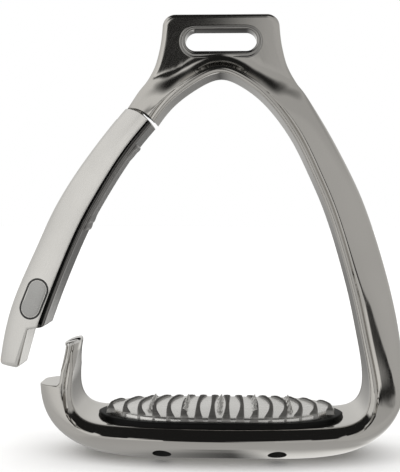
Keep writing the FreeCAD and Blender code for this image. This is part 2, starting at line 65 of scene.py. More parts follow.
# ---- sizes shared with the CAD model, millimetres -----------------------
TOP_Z = cad_high.z / MM
PLATE_HALF_WIDTH = 24.1
PLATE_HALF_DEPTH = 4.6
PLATE_CORNER_R = 5.2
PLATE_EDGE_R = 1.8
EYE_CENTRE_Z = 170.6
EYE_LENGTH = 29.6
EYE_HEIGHT = 8.8
LINER_WALL = 0.9
LINER_PROUD = 0.35
LINER_DROP = 0.6
DECK_Z = 15.0
PIVOT = np.array([-37.9, 137.5])
REST_OPENING = math.radians(9.2)
PIN_R = 2.0
BUSH_R = 2.8
TONGUE_R = 4.3
TONGUE_HALF = 4.0
SLOT_HALF = 4.35
KNUCKLE_GAP = 0.45
END_ARC = np.array([-38.6, 128.9])
ARM_END_R = 13.4
STUB_END_R = 13.95
LEG = np.array([0.518, 0.855])
SHELF_Z = 28.9
POST_FACE_X = -65.9
POST_LEAN = math.tan(math.radians(5.5))
POST_TOP_Z = 45.4
POST_TOP_SLOPE = math.tan(math.radians(16.0))
LATCH_PLATE_T = 1.6
ARM_GAP = 0.45
TAB_GAP = 0.7
STRIKE_T = 1.4
SCREW_X = 23.0
SCREW_Y = 19.0
POCKET_R = 3.8
POCKET_TOP_Z = 9.4

# A station is (inner x, inner z, outer x, outer z, half depth, flat half
# width on the outside, roundness exponent, flare). They are the CAD model's,
# with a little more flat over the arch.
STATION_STEP = 0.2
FAIRING = 2.0
BRANCH = (
    (0.0, 156.5, 0.0, 166.0, 11.0, 4.6, 2.0, 1.0),
    (7.4, 154.0, 11.2, 163.4, 11.0, 4.6, 2.0, 1.0),
    (14.4, 149.3, 21.8, 158.9, 10.9, 4.6, 2.0, 0.85),
    (20.0, 143.9, 30.9, 153.0, 10.7, 4.2, 2.0, 0.45),
    (25.0, 137.7, 36.8, 145.2, 10.5, 3.0, 2.1, 0.12),
    (31.2, 128.0, 43.8, 133.9, 10.2, 2.0, 2.1, 0.0),
    (37.0, 116.0, 50.5, 121.6, 10.0, 2.0, 2.1, 0.0),
    (42.5, 103.5, 57.0, 108.3, 9.8, 2.0, 2.1, 0.0),
    (47.1, 90.3, 62.2, 94.6, 9.7, 2.0, 2.1, 0.0),
    (51.1, 76.6, 66.7, 80.3, 9.6, 2.0, 2.1, 0.0),
    (54.6, 63.0, 70.5, 66.0, 9.6, 2.0, 2.1, 0.0),
    (57.5, 49.0, 73.5, 51.0, 9.9, 2.2, 2.1, 0.0),
    (59.6, 38.0, 75.0, 37.8, 10.8, 2.6, 2.1, 0.0),
    (60.5, 30.5, 75.0, 27.5, 12.4, 3.2, 2.0, 0.0),
    (60.2, 24.2, 72.5, 17.4, 15.0, 4.2, 1.9, 0.0),
    (57.9, 18.9, 66.2, 9.2, 18.4, 5.6, 1.7, 0.0),
    (52.6, 15.9, 56.6, 3.5, 22.0, 7.4, 1.5, 0.0),
    (43.6, DECK_Z, 45.2, 0.8, 25.2, 9.4, 1.3, 0.0),
    (30.0, DECK_Z, 31.0, 0.0, 28.0, 11.4, 1.22, 0.0),
    (15.0, DECK_Z, 15.0, 0.0, 29.6, 12.0, 1.2, 0.0),
)
STUB = (
    (-7.7, 153.9, -11.4, 163.4, 11.0, 4.6, 2.0, 1.0),
    (-14.9, 149.3, -22.0, 158.9, 10.9, 4.6, 2.0, 0.85),
    (-21.1, 144.0, -31.4, 152.9, 10.7, 4.2, 2.0, 0.45),
    (-25.9, 138.0, -36.8, 145.4, 10.5, 3.0, 2.1, 0.12),
    (-29.8, 132.0, -41.6, 138.8, 10.3, 2.0, 2.1, 0.0),
    (-34.8, 124.6, -47.0, 131.0, 10.1, 2.0, 2.1, 0.0),
)
ARM = (
    (-25.4, 141.0, -37.0, 147.8, 10.4, 2.0, 2.1, 0.0),
    (-32.0, 130.2, -43.6, 137.2, 10.2, 2.0, 2.1, 0.0),
    (-38.0, 118.6, -50.8, 124.3, 10.0, 2.0, 2.1, 0.0),
    (-43.4, 105.8, -57.0, 111.9, 9.8, 2.0, 2.1, 0.0),
    (-48.6, 91.5, -63.4, 96.0, 9.7, 2.0, 2.1, 0.0),
    (-52.5, 77.1, -67.7, 80.8, 9.6, 2.0, 2.1, 0.0),
    (-55.8, 62.8, -71.7, 66.2, 9.6, 2.0, 2.1, 0.0),
    (-58.6, 48.6, -74.8, 51.4, 9.7, 2.0, 2.1, 0.0),
    (-60.1, 38.0, -75.7, 39.2, 9.8, 2.0, 2.1, 0.0),
    (-60.6, 26.0, -75.8, 25.8, 9.8, 2.0, 2.1, 0.0),
)


# ---- curves -------------------------------------------------------------
def clipped(value):
    """A value held between 0 and 1."""
    return np.clip(value, 0.0, 1.0)


def natural_cubic(knots, values, at):
    """Smooth curve through the values, one row for each knot."""
    gaps = np.diff(knots)
    slopes = np.diff(values, axis=0) / gaps[:, None]
    count = len(knots)
    system = np.eye(count)
    right = np.zeros_like(values)
    for i in range(1, count - 1):
        system[i, i - 1:i + 2] = gaps[i - 1], 2 * (gaps[i - 1] + gaps[i]), gaps[i]
        right[i] = 6 * (slopes[i] - slopes[i - 1])
    bend = np.linalg.solve(system, right)
    cell = np.clip(np.searchsorted(knots, at, side="right") - 1, 0, count - 2)
    h = gaps[cell][:, None]
    a = (knots[cell + 1] - at)[:, None]
    b = (at - knots[cell])[:, None]
    low = values[cell] / h - bend[cell] * h / 6
    high = values[cell + 1] / h - bend[cell + 1] * h / 6
    return (bend[cell] * a ** 3 + bend[cell + 1] * b ** 3) / (6 * h) + low * a + high * b


def lengths(line):
    """Distance along the line at each of its points."""
    steps = np.linalg.norm(np.diff(line, axis=0), axis=1)
    return np.concatenate([[0.0], np.cumsum(steps)])


def faired(rows, reach):
    """Rows smoothed by a bell curve; reach is its width in rows."""
    size = int(3 * reach)
    bell = np.exp(-0.5 * (np.arange(-size, size + 1) / reach) ** 2)
    bell /= bell.sum()
    head = 2 * rows[0] - rows[size:0:-1]
    tail = 2 * rows[-1] - rows[-2:-size - 2:-1]
    padded = np.concatenate([head, rows, tail])
    return np.stack([np.convolve(column, bell, "valid") for column in padded.T], axis=1)


def station_curve(stations):
    """Stations joined into one dense, faired run of rows."""
    rows = np.array(stations, float)
    knots = lengths((rows[:, 0:2] + rows[:, 2:4]) / 2)
    at = np.linspace(0.0, knots[-1], int(knots[-1] / STATION_STEP) + 1)
    return faired(natural_cubic(knots, rows, at), FAIRING / STATION_STEP)


def resampled(line, step):
    """The same line with even spacing."""
    along = lengths(line)
    at = np.linspace(0.0, along[-1], int(along[-1] / step) + 1)
    return at_length(line, at)


def at_length(line, at):
    """Points on the line at some distances along it."""
    along = lengths(line)
    return np.stack([np.interp(at, along, column) for column in line.T], axis=1)


def locate(line, point):
    """Distance along the line to the place nearest a point."""
    _, place = nearest(np.array([point], float), line)
    return float(np.interp(place[0], np.arange(len(line)), lengths(line)))


def nearest(points, line):
    """Distance from each point to a dense line, and the fractional index there."""
    tree = KDTree(len(line))
    for i, (x, z) in enumerate(line):
        tree.insert((x, z, 0.0), i)
    tree.balance()
    close = np.array([tree.find((x, z, 0.0))[1] for x, z in points])
    gaps = np.full(len(points), np.inf)
    places = np.zeros(len(points))
    for shift in (-1, 0):
        first = np.clip(close + shift, 0, len(line) - 2)
        run = line[first + 1] - line[first]
        away = points - line[first]
        t = clipped((away * run).sum(1) / np.maximum((run ** 2).sum(1), TINY ** 2))
        gap = np.linalg.norm(away - t[:, None] * run, axis=1)
        better = gap < gaps
        gaps[better] = gap[better]
        places[better] = (first + t)[better]
    return gaps, places


def picked(values, places):
    """Values read at fractional indices."""
    return np.interp(places, np.arange(len(values)), values)


def arc(centre, radius, start, stop, count):
    """Points on a circle between two angles in degrees."""
    angles = np.radians(np.linspace(start, stop, count))
    return np.stack([centre[0] + radius * np.cos(angles), centre[1] + radius * np.sin(angles)], axis=1)


def circle(centre, radius, count):
    """Closed ring of points."""
    return arc(centre, radius, 0, 360, count + 1)[:-1]


def swung(points):
    """XZ points turned from shut to the rest pose about the hinge."""
    c, s = math.cos(REST_OPENING), math.sin(REST_OPENING)
    x, z = (points - PIVOT).T
    return np.stack([PIVOT[0] + x * c + z * s, PIVOT[1] - x * s + z * c], axis=1)


def swung_verts(verts):
    """3-D points turned from shut to the rest pose."""
    turned = np.array(verts, float)
    turned[:, [0, 2]] = swung(turned[:, [0, 2]])
    return turned


def round_drop(distance, radius):
    """How far a rounded edge has fallen away, some distance in from it."""
    radius = np.maximum(radius, TINY)
    t = clipped(1.0 - distance / radius)
    return radius * (1.0 - np.sqrt(np.maximum(1.0 - t * t, 0.0)))


# ---- meshes -------------------------------------------------------------
def linked(name, data):
    """New object of the scene."""
    thing = bpy.data.objects.new(name, data)
    bpy.context.scene.collection.objects.link(thing)
    return thing


def closed_mesh(name, verts, faces):
    """Mesh in metres from millimetre points, with every face looking outwards."""
    mesh = bpy.data.meshes.new(name)
    mesh.from_pydata((np.asarray(verts, float) * MM).tolist(), [], faces)
    mesh.validate()
    work = bmesh.new()
    work.from_mesh(mesh)
    bmesh.ops.recalc_face_normals(work, faces=work.faces)
    work.to_mesh(mesh)
    work.free()
    return mesh


def new_piece(name, shape, body, material, replaces=(), sharp=None):
    """A piece that rides on a body. The arm's shapes are drawn shut and are turned to rest here."""
    verts, faces, *uv = shape
    if body == "arm":
        verts = swung_verts(verts)
    mesh = closed_mesh(name, verts, faces)
    piece = linked(name, mesh)
    if uv:
        layer = mesh.uv_layers.new(name="UVMap")
        corner = np.empty(len(mesh.loops), np.int64)
        mesh.loops.foreach_get("vertex_index", corner)
        layer.data.foreach_set("uv", (uv[0][corner] * MM).astype(np.float32).ravel())
    mesh.polygons.foreach_set("use_smooth", [True] * len(mesh.polygons))
    if sharp is not None:
        mesh.set_sharp_from_angle(angle=math.radians(sharp))
    mesh.materials.append(material)
    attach(piece, body)
    if replaces:
        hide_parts(*replaces)
    return piece


def rail_rows(inner, outer, knots):
    """Matched points on two rails. A knot is (inner point, outer point, step after it)."""
    marks = [(locate(inner, a), locate(outer, b), step) for a, b, step in knots]
    places = [marks[0][:2]]
    for (a0, b0, step), (a1, b1, _) in zip(marks, marks[1:]):
        count = max(1, math.ceil(max(abs(a1 - a0), abs(b1 - b0)) / step))
        for i in range(1, count + 1):
            t = i / count
            places.append((a0 + (a1 - a0) * t, b0 + (b1 - b0) * t))
    places = np.array(places)
    return at_length(inner, places[:, 0]), at_length(outer, places[:, 1])


WALLS = 8                     # faces between the front and the back of a loaf
BOW_REACH = 14.0              # length over which a bowed end eases back to straight
# Places of the grid columns: near the inner edge in crease distances, beyond it by angle.
NEAR_STEPS = np.array([0.0, 0.01, 0.05, 0.11, 0.2, 0.31, 0.44, 0.58, 0.71, 0.83, 0.92, 1.0,
                       1.08, 1.16, 1.26, 1.45])
FAR_ANGLES = np.radians(np.array([0, 5, 11, 17, 23, 29, 35, 41, 47, 53, 59, 64, 69, 73, 77, 80, 83,
                                  85.5, 88, 90]))


def ray_grid(starts, ends, crease):
    """Points along each ray from one rail to the other, close together near the crease."""
    ray = ends - starts
    length = np.linalg.norm(ray, axis=1)
    tangent = np.gradient(starts, axis=0)
    tangent /= np.maximum(np.linalg.norm(tangent, axis=1), TINY)[:, None]
    across = np.abs(tangent[:, 0] * ray[:, 1] - tangent[:, 1] * ray[:, 0]) / length
    scale = np.minimum(crease / np.clip(across, 0.6, 1.0), 0.5 * length)
    near = scale[:, None] * NEAR_STEPS[None]
    far = near[:, -1:] + (length[:, None] - near[:, -1:]) * np.sin(FAR_ANGLES[1:])[None]
    t = np.concatenate([near, far], axis=1) / length[:, None]
    return starts[:, None] + t[..., None] * ray[:, None]


def loaf(grid, depth):
    """Closed mesh from a grid of XZ points and their half depths, same front and back."""
    rows, columns = depth.shape
    front = np.stack([grid[..., 0], -depth, grid[..., 1]], axis=2)
    back = front * np.array([1.0, -1.0, 1.0])
    t = (np.arange(1, WALLS) / WALLS)[None, :, None]
    outer_wall = front[:, -1:] * (1 - t) + back[:, -1:] * t
    inner_wall = back[:, :1] * (1 - t) + front[:, :1] * t
    loop = np.concatenate([front, outer_wall, back[:, ::-1], inner_wall], axis=1)
    around = loop.shape[1]
    verts = loop.reshape(-1, 3)
    faces = []
    for i in range(rows - 1):
        for j in range(around):
            k = (j + 1) % around
            low, high = i * around, (i + 1) * around
            faces.append((low + j, low + k, high + k, high + j))
    extra = []
    for row, flip in ((0, True), (rows - 1, False)):
        base = len(verts) + len(extra)

        def at(column, j):
            if j == 0:
                return row * around + column
            if j == WALLS:
                return row * around + 2 * columns + WALLS - 2 - column
            if column == columns - 1:
                return row * around + columns + j - 1
            if column == 0:
                return row * around + around - j
            return base + (column - 1) * (WALLS - 1) + j - 1

        for column in range(1, columns - 1):
            for j in range(1, WALLS):
                extra.append(front[row, column] * (1 - j / WALLS) + back[row, column] * (j / WALLS))
        for column in range(columns - 1):
            for j in range(WALLS):
                quad = (at(column, j), at(column + 1, j), at(column + 1, j + 1), at(column, j + 1))
                faces.append(quad[::-1] if flip else quad)
    verts = np.concatenate([verts, np.array(extra)])
    middle = grid.mean(axis=1)
    run = lengths(middle)
    girth = lengths(loop[rows // 2])
    uv = np.stack(np.meshgrid(run, girth, indexing="ij"), axis=2).reshape(-1, 2)
    tail = np.stack([np.array(extra)[:, 2], np.array(extra)[:, 1]], axis=1)
    return verts, faces, np.concatenate([uv, tail])


def bowed_end(grid, radius):
    """Curve the first rows so that the end follows the joint's circle, easing back to straight."""
    first = grid[0]
    a = math.atan2(*(first[0] - END_ARC)[::-1])
    b = math.atan2(*(first[-1] - END_ARC)[::-1])
    t = np.linalg.norm(first - first[0], axis=1) / np.linalg.norm(first[-1] - first[0])
    angle = a + (b - a) * t
    target = END_ARC + radius * np.stack([np.cos(angle), np.sin(angle)], axis=1)
    away = lengths(grid.mean(axis=1))
    ease = clipped(1.0 - away / BOW_REACH) ** 2
    return grid + ease[:, None, None] * (target - first)[None]


def skinned(loops, closed=False):
    """Mesh through a run of equal loops, capped at both ends, or closed on itself."""
    count, levels = len(loops[0]), len(loops)
    faces = []
    if not closed:
        faces = [tuple(range(count))[::-1], tuple(range((levels - 1) * count, levels * count))]
    for k in range(levels if closed else levels - 1):
        a, b = k * count, (k + 1) % levels * count
        faces += [(a + i, a + (i + 1) % count, b + (i + 1) % count, b + i) for i in range(count)]
    return np.concatenate(loops), faces


def loop_at(outline, height, axis="Z"):
    """Flat outline as 3-D points at one height along Z or Y."""
    level = np.full(len(outline), float(height)) if np.ndim(height) == 0 else height
    if axis == "Z":
        return np.stack([outline[:, 0], outline[:, 1], level], axis=1)
    return np.stack([outline[:, 0], level, outline[:, 1]], axis=1)


def cut_away(piece, cutter):
    """Take the cutter's volume out of a piece and delete the cutter."""
    step = piece.modifiers.new("cut", "BOOLEAN")
    step.operation = "DIFFERENCE"
    step.object = cutter
    step.solver = "EXACT"
    graph = bpy.context.evaluated_depsgraph_get()
    mesh = bpy.data.meshes.new_from_object(piece.evaluated_get(graph))
    piece.modifiers.clear()
    old = piece.data
    piece.data = mesh
    mesh.name = old.name + "_cut"
    bpy.data.objects.remove(cutter)


def wall_faces(count):
    """Faces of a closed prism whose two ends have count corners each."""
    ends = [tuple(range(count)), tuple(range(2 * count - 1, count - 1, -1))]
    return ends + [(i, i + count, (i + 1) % count + count, (i + 1) % count) for i in range(count)]


def prism_shape(outline, y0, y1):
    """XZ outline pushed from y0 to y1."""
    verts = [(x, y, z) for y in (y0, y1) for x, z in outline]
    return verts, wall_faces(len(outline))


def cylinder_shape(x, y, radius, z0, z1):
    """Upright cylinder."""
    ring = circle((x, y), radius, 64)
    verts = [(a, b, z) for z in (z0, z1) for a, b in ring]
    return verts, wall_faces(len(ring))


def merged(shapes):
    """Several closed shapes as one."""
    verts, faces = [], []
    for more_verts, more_faces in shapes:
        base = len(verts)
        verts.extend(more_verts)
        faces.extend(tuple(i + base for i in face) for face in more_faces)
    return verts, faces


def paint(piece, material, inside):
    """Second material on the faces that pass a test of their middle, in millimetres, and their slope."""
    piece.data.materials.append(material)
    for face in piece.data.polygons:
        if inside(*(face.center / MM), face.normal.z):
            face.material_index = 1


def tool(verts, faces):
    """Loose object used to cut another."""
    return linked("tool", closed_mesh("tool", verts, faces))


# ---- frame --------------------------------------------------------------
def mirrored(station):
    """Station on the other side of the stirrup."""
    ix, iz, ox, oz, *rest = station
    return (-ix, iz, -ox, oz, *rest)


RING = station_curve([*reversed(STUB), *BRANCH, *(mirrored(s) for s in reversed(BRANCH[11:]))])
RING_INNER = RING[:, 0:2]
RING_OUTER = RING[:, 2:4]
THROUGH = 20.0                # farther front and back than any part that is cut right through
WEB_LENGTH = 7.0
WEB_HALF = 2.3
POCKET_START_Z = -5.0
SHELF_EDGE_R = 0.5
POST_FOOT_R = 1.6
POST_EDGE_R = 1.6
POST_TIP = (35.0, 8.0)        # height where the post turns oval, and the rise over which it does
POST_RIGHT_X = -50.0          # the post lies left of this and below the next
POST_LIMIT_Z = 60.0
POST_OVAL = (2.2, 0.45)       # powers of the oval
HOLLOW_RUN = 7.4              # width of the hollow under the eye plate, and how fast it deepens
HOLLOW_POWER = 2.2
SWEEP_POWER = 1.8
SWEEP_FOOT = (31.0, 153.0)    # where the outline turns from the arch into the eye plate's side
SWEEP_REACH = 5.0
PLATE_FOOT_Z = 138.0
CHAMFER_HALVES = (12.3, 15.5)  # half depths over which the round rim becomes a flat chamfer
CHAMFER_SLOPE = 1.05
CHAMFER_EDGE_R = 0.5
LEAN_TOP = 98.0               # below this the branch's face leans in beside the crease
LEAN_RUN = 36.0
LEAN_SLOPE = 0.13
LEAN_X = (44.0, 12.0)         # the lean starts here and is full so much farther to the right
LEAN_FOOT = (8.0, 14.0)       # it fades out here, and is full so much higher
LEAN_WIDTH = (1.0, 7.0)       # its least width, and what it gains over the next run downwards
LEAN_GAIN_RUN = 70.0
BEAD_HALVES = (10.0, 12.5, 20.0, 26.0, 30.0)
FLARE_SMOOTH = 0.45           # flare at which the leg has become the plate's smooth sweep
SHOULDER_R = 0.9              # rounding of the face beside the crease, and the least it can be
SHOULDER_LEAST_R = 0.2


def bead_radius(half):
    """The rim bead is slim on the legs and a broad quarter round along the tread."""
    return np.interp(half, BEAD_HALVES, (1.2, 1.5, 2.8, 3.8, 4.0))


def crease_at(half):
    """Distance of the crease from the inner edge."""
    return bead_radius(half) * np.interp(half, BEAD_HALVES, (1.9, 1.9, 1.25, 1.04, 1.02))


def forged_depth(points):
    """Half depth of the forging over XZ points, before its outer edges are rounded."""
    inner_gap, place = nearest(points, RING_INNER)
    outer_gap, outer_place = nearest(points, RING_OUTER)
    half, flat, power, flare = (picked(RING[:, column], place) for column in (4, 5, 6, 7))
    bead = bead_radius(half)
    crease = crease_at(half)
    run = np.maximum(inner_gap - crease, 0.0)
    lean, lean_width = inward_lean(points)
    past = np.maximum(run - lean_width, 0.0)
    u = clipped(past / np.maximum(past + outer_gap, TINY))
    on_plate = left_of(points, RING_OUTER, outer_place) & (points[:, 1] > PLATE_FOOT_Z)
    u = np.where(on_plate, 1.0, u)
    leg = np.maximum(1.0 - u ** power, 0.0) ** (1.0 / power)
    sweep = 0.5 + 0.5 * np.cos(math.pi * u ** SWEEP_POWER)
    blend = clipped(flare / FLARE_SMOOTH)
    blend = blend * blend * (3.0 - 2.0 * blend)
    face = flat + (half - flat) * (leg + (sweep - leg) * blend)
    left = clipped(1.0 - run / HOLLOW_RUN)
    hollow = PLATE_HALF_DEPTH + (half - PLATE_HALF_DEPTH) * left ** HOLLOW_POWER
    face = (1.0 - flare) * face + flare * hollow
    reach = np.maximum(lean_width - run, 0.0)
    face = face - lean * LEAN_SLOPE * reach ** 2 / (reach + 1.0)
    chamfer = clipped((half - CHAMFER_HALVES[0]) / (CHAMFER_HALVES[1] - CHAMFER_HALVES[0]))
    face = face - round_drop(run, SHOULDER_R * (1.0 - chamfer) + SHOULDER_LEAST_R)
    rise = np.maximum(bead ** 2 - (bead - inner_gap) ** 2, 0.0)
    bead_rim = half - bead + np.sqrt(rise)
    flat_rim = half - CHAMFER_SLOPE * np.abs(bead - inner_gap) - round_drop(inner_gap, CHAMFER_EDGE_R)
    rim = bead_rim + chamfer * (flat_rim - bead_rim)
    beside = np.where(inner_gap < 2.0 * bead, np.maximum(rim, face), face)
    return np.where(inner_gap < crease, rim, beside)


def inward_lean(points):
    """How strongly, and over what width, the right branch's face leans in beside the crease."""
    x, z = points.T
    low = clipped((LEAN_TOP - z) / LEAN_RUN)
    low = low * clipped((x - LEAN_X[0]) / LEAN_X[1]) * clipped((z - LEAN_FOOT[0]) / LEAN_FOOT[1])
    width = low * (LEAN_WIDTH[0] + LEAN_WIDTH[1] * clipped((LEAN_TOP - z) / LEAN_GAIN_RUN))
    return low, width


def left_of(points, line, places):
    """Whether each point lies to the left of a line, seen along it."""
    first = np.clip(places.astype(int), 0, len(line) - 2)
    run = line[first + 1] - line[first]
    away = points - line[first]
    return run[:, 0] * away[:, 1] - run[:, 1] * away[:, 0] > 0.0


def between(line, first, last):
    """The stretch of a line from nearest one point to nearest another."""
    a, b = locate(line, first), locate(line, last)
    at = np.linspace(a, b, max(2, int(abs(b - a) / 0.1)))
    return at_length(line, at)


def stub_start(line):
    """Point where a line that starts inside the stub's end circle leaves it."""
    gap = np.linalg.norm(line - END_ARC, axis=1)
    i = int(np.argmax(gap > STUB_END_R))
    t = (STUB_END_R - gap[i - 1]) / (gap[i] - gap[i - 1])
    return line[i - 1] + t * (line[i] - line[i - 1])


def plate_side(sign):
    """Side of the eye plate, foot to corner."""
    w = PLATE_HALF_WIDTH
    path = np.array([(w + 6.9, 153.2), (w + 3.2, 160.0), (w + 1.7, 165.0), (w + 0.6, 170.5),
                     (w, TOP_Z - PLATE_CORNER_R)])
    along = lengths(path)
    curve = natural_cubic(along, path, np.linspace(0.0, along[-1], 200))
    return curve * np.array([sign, 1.0])


def post_top_z(x, lift):
    """Height of the post's sloped top, or of a plane some way over it."""
    return POST_TOP_Z + lift + POST_TOP_SLOPE * (x - POST_FACE_X)


def post_outline(lift):
    """Left end of the outline: shelf edge, shelf, post foot and the post's outer face."""
    edge = RING_OUTER[(RING_OUTER[:, 0] < -60.0) & (RING_OUTER[:, 1] < SHELF_Z)][-1]
    corner = arc((edge[0] + SHELF_EDGE_R, SHELF_Z - SHELF_EDGE_R), SHELF_EDGE_R, 180, 90, 10)
    foot = arc((POST_FACE_X - POST_FOOT_R + 0.15, SHELF_Z + POST_FOOT_R), POST_FOOT_R, -90, -5.5, 12)
    rise = (POST_TOP_Z + lift - SHELF_Z) / (1.0 - POST_TOP_SLOPE * POST_LEAN)
    top = np.array([(POST_FACE_X + POST_LEAN * rise, SHELF_Z + rise)])
    return np.concatenate([corner, foot, top])


def softened(line, centre, reach):
    """A line smoothed near one place."""
    smooth = faired(line, 12)
    away = np.linalg.norm(line - centre, axis=1)
    weight = np.exp(-(away / reach) ** 2)[:, None]
    return line * (1 - weight) + smooth * weight


def frame_outline():
    """Outer rail of the frame from the joint over the eye plate and round to the post top."""
    w, r = PLATE_HALF_WIDTH, PLATE_CORNER_R
    start = stub_start(RING_OUTER)
    left = between(RING_OUTER, start, STUB[2][2:4])
    corner_z = TOP_Z - r
    crown = [arc((r - w, corner_z), r, 180, 90, 30), arc((w - r, corner_z), r, 90, 0, 30)]
    right_from = locate(RING_OUTER, BRANCH[3][2:4])
    post = post_outline(-LATCH_PLATE_T)
    right_to = locate(RING_OUTER, post[0])
    right = at_length(RING_OUTER, np.arange(right_from, right_to - 0.2, 0.1))
    line = np.concatenate([left[:-4], plate_side(-1), *crown, plate_side(1)[::-1], right[4:], post])
    keep = np.concatenate([[True], np.linalg.norm(np.diff(line, axis=0), axis=1) > 1e-4])
    line = resampled(line[keep], 0.1)
    for sign in (-1, 1):
        line = softened(line, (sign * SWEEP_FOOT[0], SWEEP_FOOT[1]), SWEEP_REACH)
    return line, post


def frame_edge_radius(line, post):
    """Rounding of the outer edges along the outline."""
    marks = [(line[0], 0.25), (STUB[4][2:4], 0.0), ((-34.5, 148.5), 0.5), ((-29.5, 155.8), PLATE_EDGE_R),
             ((29.5, 155.8), PLATE_EDGE_R), ((34.5, 148.5), 0.5), (BRANCH[5][2:4], 0.0),
             ((-73.0, 17.0), 0.0), (post[0], SHELF_EDGE_R), ((POST_FACE_X - 2.2, SHELF_Z), SHELF_EDGE_R),
             ((POST_FACE_X + 0.1, SHELF_Z + 2.5), POST_EDGE_R), (post[-1], POST_EDGE_R)]
    at = [locate(line, point) for point, _ in marks]
    return np.interp(lengths(line), at, [radius for _, radius in marks])


def frame_grid():
    """Grid of XZ points over the whole forging, with its outline and the post's part of it."""
    outline, post = frame_outline()
    inner_start = stub_start(RING_INNER)
    top_gap = RING_INNER[:, 1] - post_top_z(RING_INNER[:, 0], -LATCH_PLATE_T)
    inner_end = RING_INNER[np.argmax((RING_INNER[:, 0] < -50.0) & (top_gap > 0.0))]
    w = PLATE_HALF_WIDTH
    corner = TOP_Z - PLATE_CORNER_R
    half_top = w - PLATE_CORNER_R
    side = ((BRANCH[3][0:2], BRANCH[3][2:4]), ((16.3, 147.6), (27.3, 160.0)), ((11.2, 151.6), (24.7, 170.5)),
            ((9.4, 152.8), (w, corner)), ((7.2, 154.1), (half_top, TOP_Z)))
    knots = [(inner_start, outline[0], 0.06), (inner_start + (0.35, 0.6), outline[0] + (0.35, 0.6), 0.8),
             (STUB[3][0:2], STUB[3][2:4], 0.8)]
    knots += [((-a[0], a[1]), (-b[0], b[1]), step) for (a, b), step in zip(side, (0.8, 0.8, 0.8, 0.45, 0.8))]
    knots.append(((0.0, 156.5), (0.0, TOP_Z), 0.8))
    knots += [(a, b, step) for (a, b), step in zip(reversed(side), (0.45, 0.8, 0.8, 0.8, 0.8))]
    knots += [(s[0:2], s[2:4], 0.8) for s in BRANCH[4:]]
    knots += [((-s[0], s[1]), (-s[2], s[3]), 0.8) for s in reversed(BRANCH[15:])]
    knots += [((-60.2, 23.6), (-73.3, 19.0), 0.7),
              ((-60.45, 27.6), post[0] + (0.0, -0.3), 0.1),
              ((-60.5, 28.2), post[9] + (0.3, 0.0), 0.5),
              ((-60.45, 29.4), (POST_FACE_X - 1.6, SHELF_Z), 0.2),
              ((-60.4, 30.6), (POST_FACE_X + 0.15, SHELF_Z + 1.8), 0.6),
              (inner_end + (-0.1, -0.6), post[-1] + (-0.06, -0.6), 0.06),
              (inner_end, post[-1], 0.1)]
    starts, ends = rail_rows(RING_INNER, outline, knots)
    tangent_half = picked(RING[:, 4], nearest(starts, RING_INNER)[1])
    grid = ray_grid(starts, ends, crease_at(tangent_half))
    grid = bowed_end(grid, STUB_END_R)
    grid[..., 1] = np.maximum(grid[..., 1], 0.0)
    return grid, outline, post


def shape_depth(grid, edge_line, edge_radius):
    """Half depth at each grid point, with rounded outer edges and an oval post tip."""
    points = grid.reshape(-1, 2)
    x, z = points.T
    depth = forged_depth(points)
    outer_gap, place = nearest(points, edge_line)
    depth = depth - round_drop(outer_gap, picked(edge_radius, place))
    tip = clipped((z - POST_TIP[0]) / POST_TIP[1]) * (x < POST_RIGHT_X) * (z < POST_LIMIT_Z)
    inner_gap, place = nearest(points, RING_INNER)
    across = (inner_gap - outer_gap) / np.maximum(inner_gap + outer_gap, TINY)
    round_half = np.maximum(1.0 - np.abs(across) ** POST_OVAL[0], 0.0) ** POST_OVAL[1]
    oval = picked(RING[:, 4], place) * round_half
    depth = np.where(tip > 0.0, depth + tip * (np.minimum(depth, oval) - depth), depth)
    return depth.reshape(grid.shape[:2])


def eye_outline(grow, drop=0.0):
    """Slot outline in XZ, grown outwards by some millimetres."""
    r = EYE_HEIGHT / 2 + grow
    half = EYE_LENGTH / 2 - EYE_HEIGHT / 2
    z = EYE_CENTRE_Z - drop
    return np.concatenate([arc((half, z), r, -90, 90, 28), arc((-half, z), r, 90, 270, 28)])


def web_outline(half_width, length, end_half_width):
    """Block from the hinge up the stub, with a round knuckle end."""
    side = np.array([LEG[1], -LEG[0]])
    turn = math.degrees(math.atan2(side[1], side[0]))
    knuckle = arc(PIVOT, half_width, turn, turn - 180, 40)
    far = PIVOT + LEG * length
    return np.concatenate([knuckle, [far - side * end_half_width, far + side * end_half_width]])


def make_frame(material, pocket_shade_material):
    """The one forging, with its eye and the screw pockets under the tread, whose walls and roofs are painted
    near-black as shade.
    """
    grid, outline, post = frame_grid()
    radius = frame_edge_radius(outline, post)
    depth = shape_depth(grid, outline, radius)
    piece = new_piece("frame_forging", loaf(grid, depth), "frame", material, ("frame",))
    cut = [cylinder_shape(sx * SCREW_X, sy * SCREW_Y, POCKET_R, POCKET_START_Z, POCKET_TOP_Z)
           for sx in (-1, 1) for sy in (-1, 1)]
    cut.append(prism_shape(eye_outline(LINER_WALL), -THROUGH, THROUGH))
    cut_away(piece, tool(*merged(cut)))

    def in_shaded_pocket(x, y, z, _):
        from_axis = math.hypot(abs(x) - SCREW_X, abs(y) - SCREW_Y)
        return from_axis < POCKET_R + 0.02 and z < POCKET_TOP_Z + 0.02

    # Painted shade: faces inside the pockets take the near-black second material.
    paint(piece, pocket_shade_material, in_shaded_pocket)
    piece.data.set_sharp_from_angle(angle=math.radians(38))


def rounded_slab(outline, y0, y1, edge=0.3):
    """Loops of a flat piece in the XZ plane with rounded edges; outline runs anticlockwise."""
    tangent = np.roll(outline, -1, axis=0) - np.roll(outline, 1, axis=0)
    tangent /= np.maximum(np.linalg.norm(tangent, axis=1), TINY)[:, None]
    outward = np.stack([tangent[:, 1], -tangent[:, 0]], axis=1)
    turns = np.radians((0.0, 22.5, 45.0, 67.5, 90.0))
    front = [(y0 + edge * (1 - math.sin(a)), edge * (1 - math.cos(a))) for a in turns[::-1]]
    back = [(y1 - edge * (1 - math.sin(a)), edge * (1 - math.cos(a))) for a in turns]
    return [loop_at(outline - outward * inset, y, "Y") for y, inset in front + back]


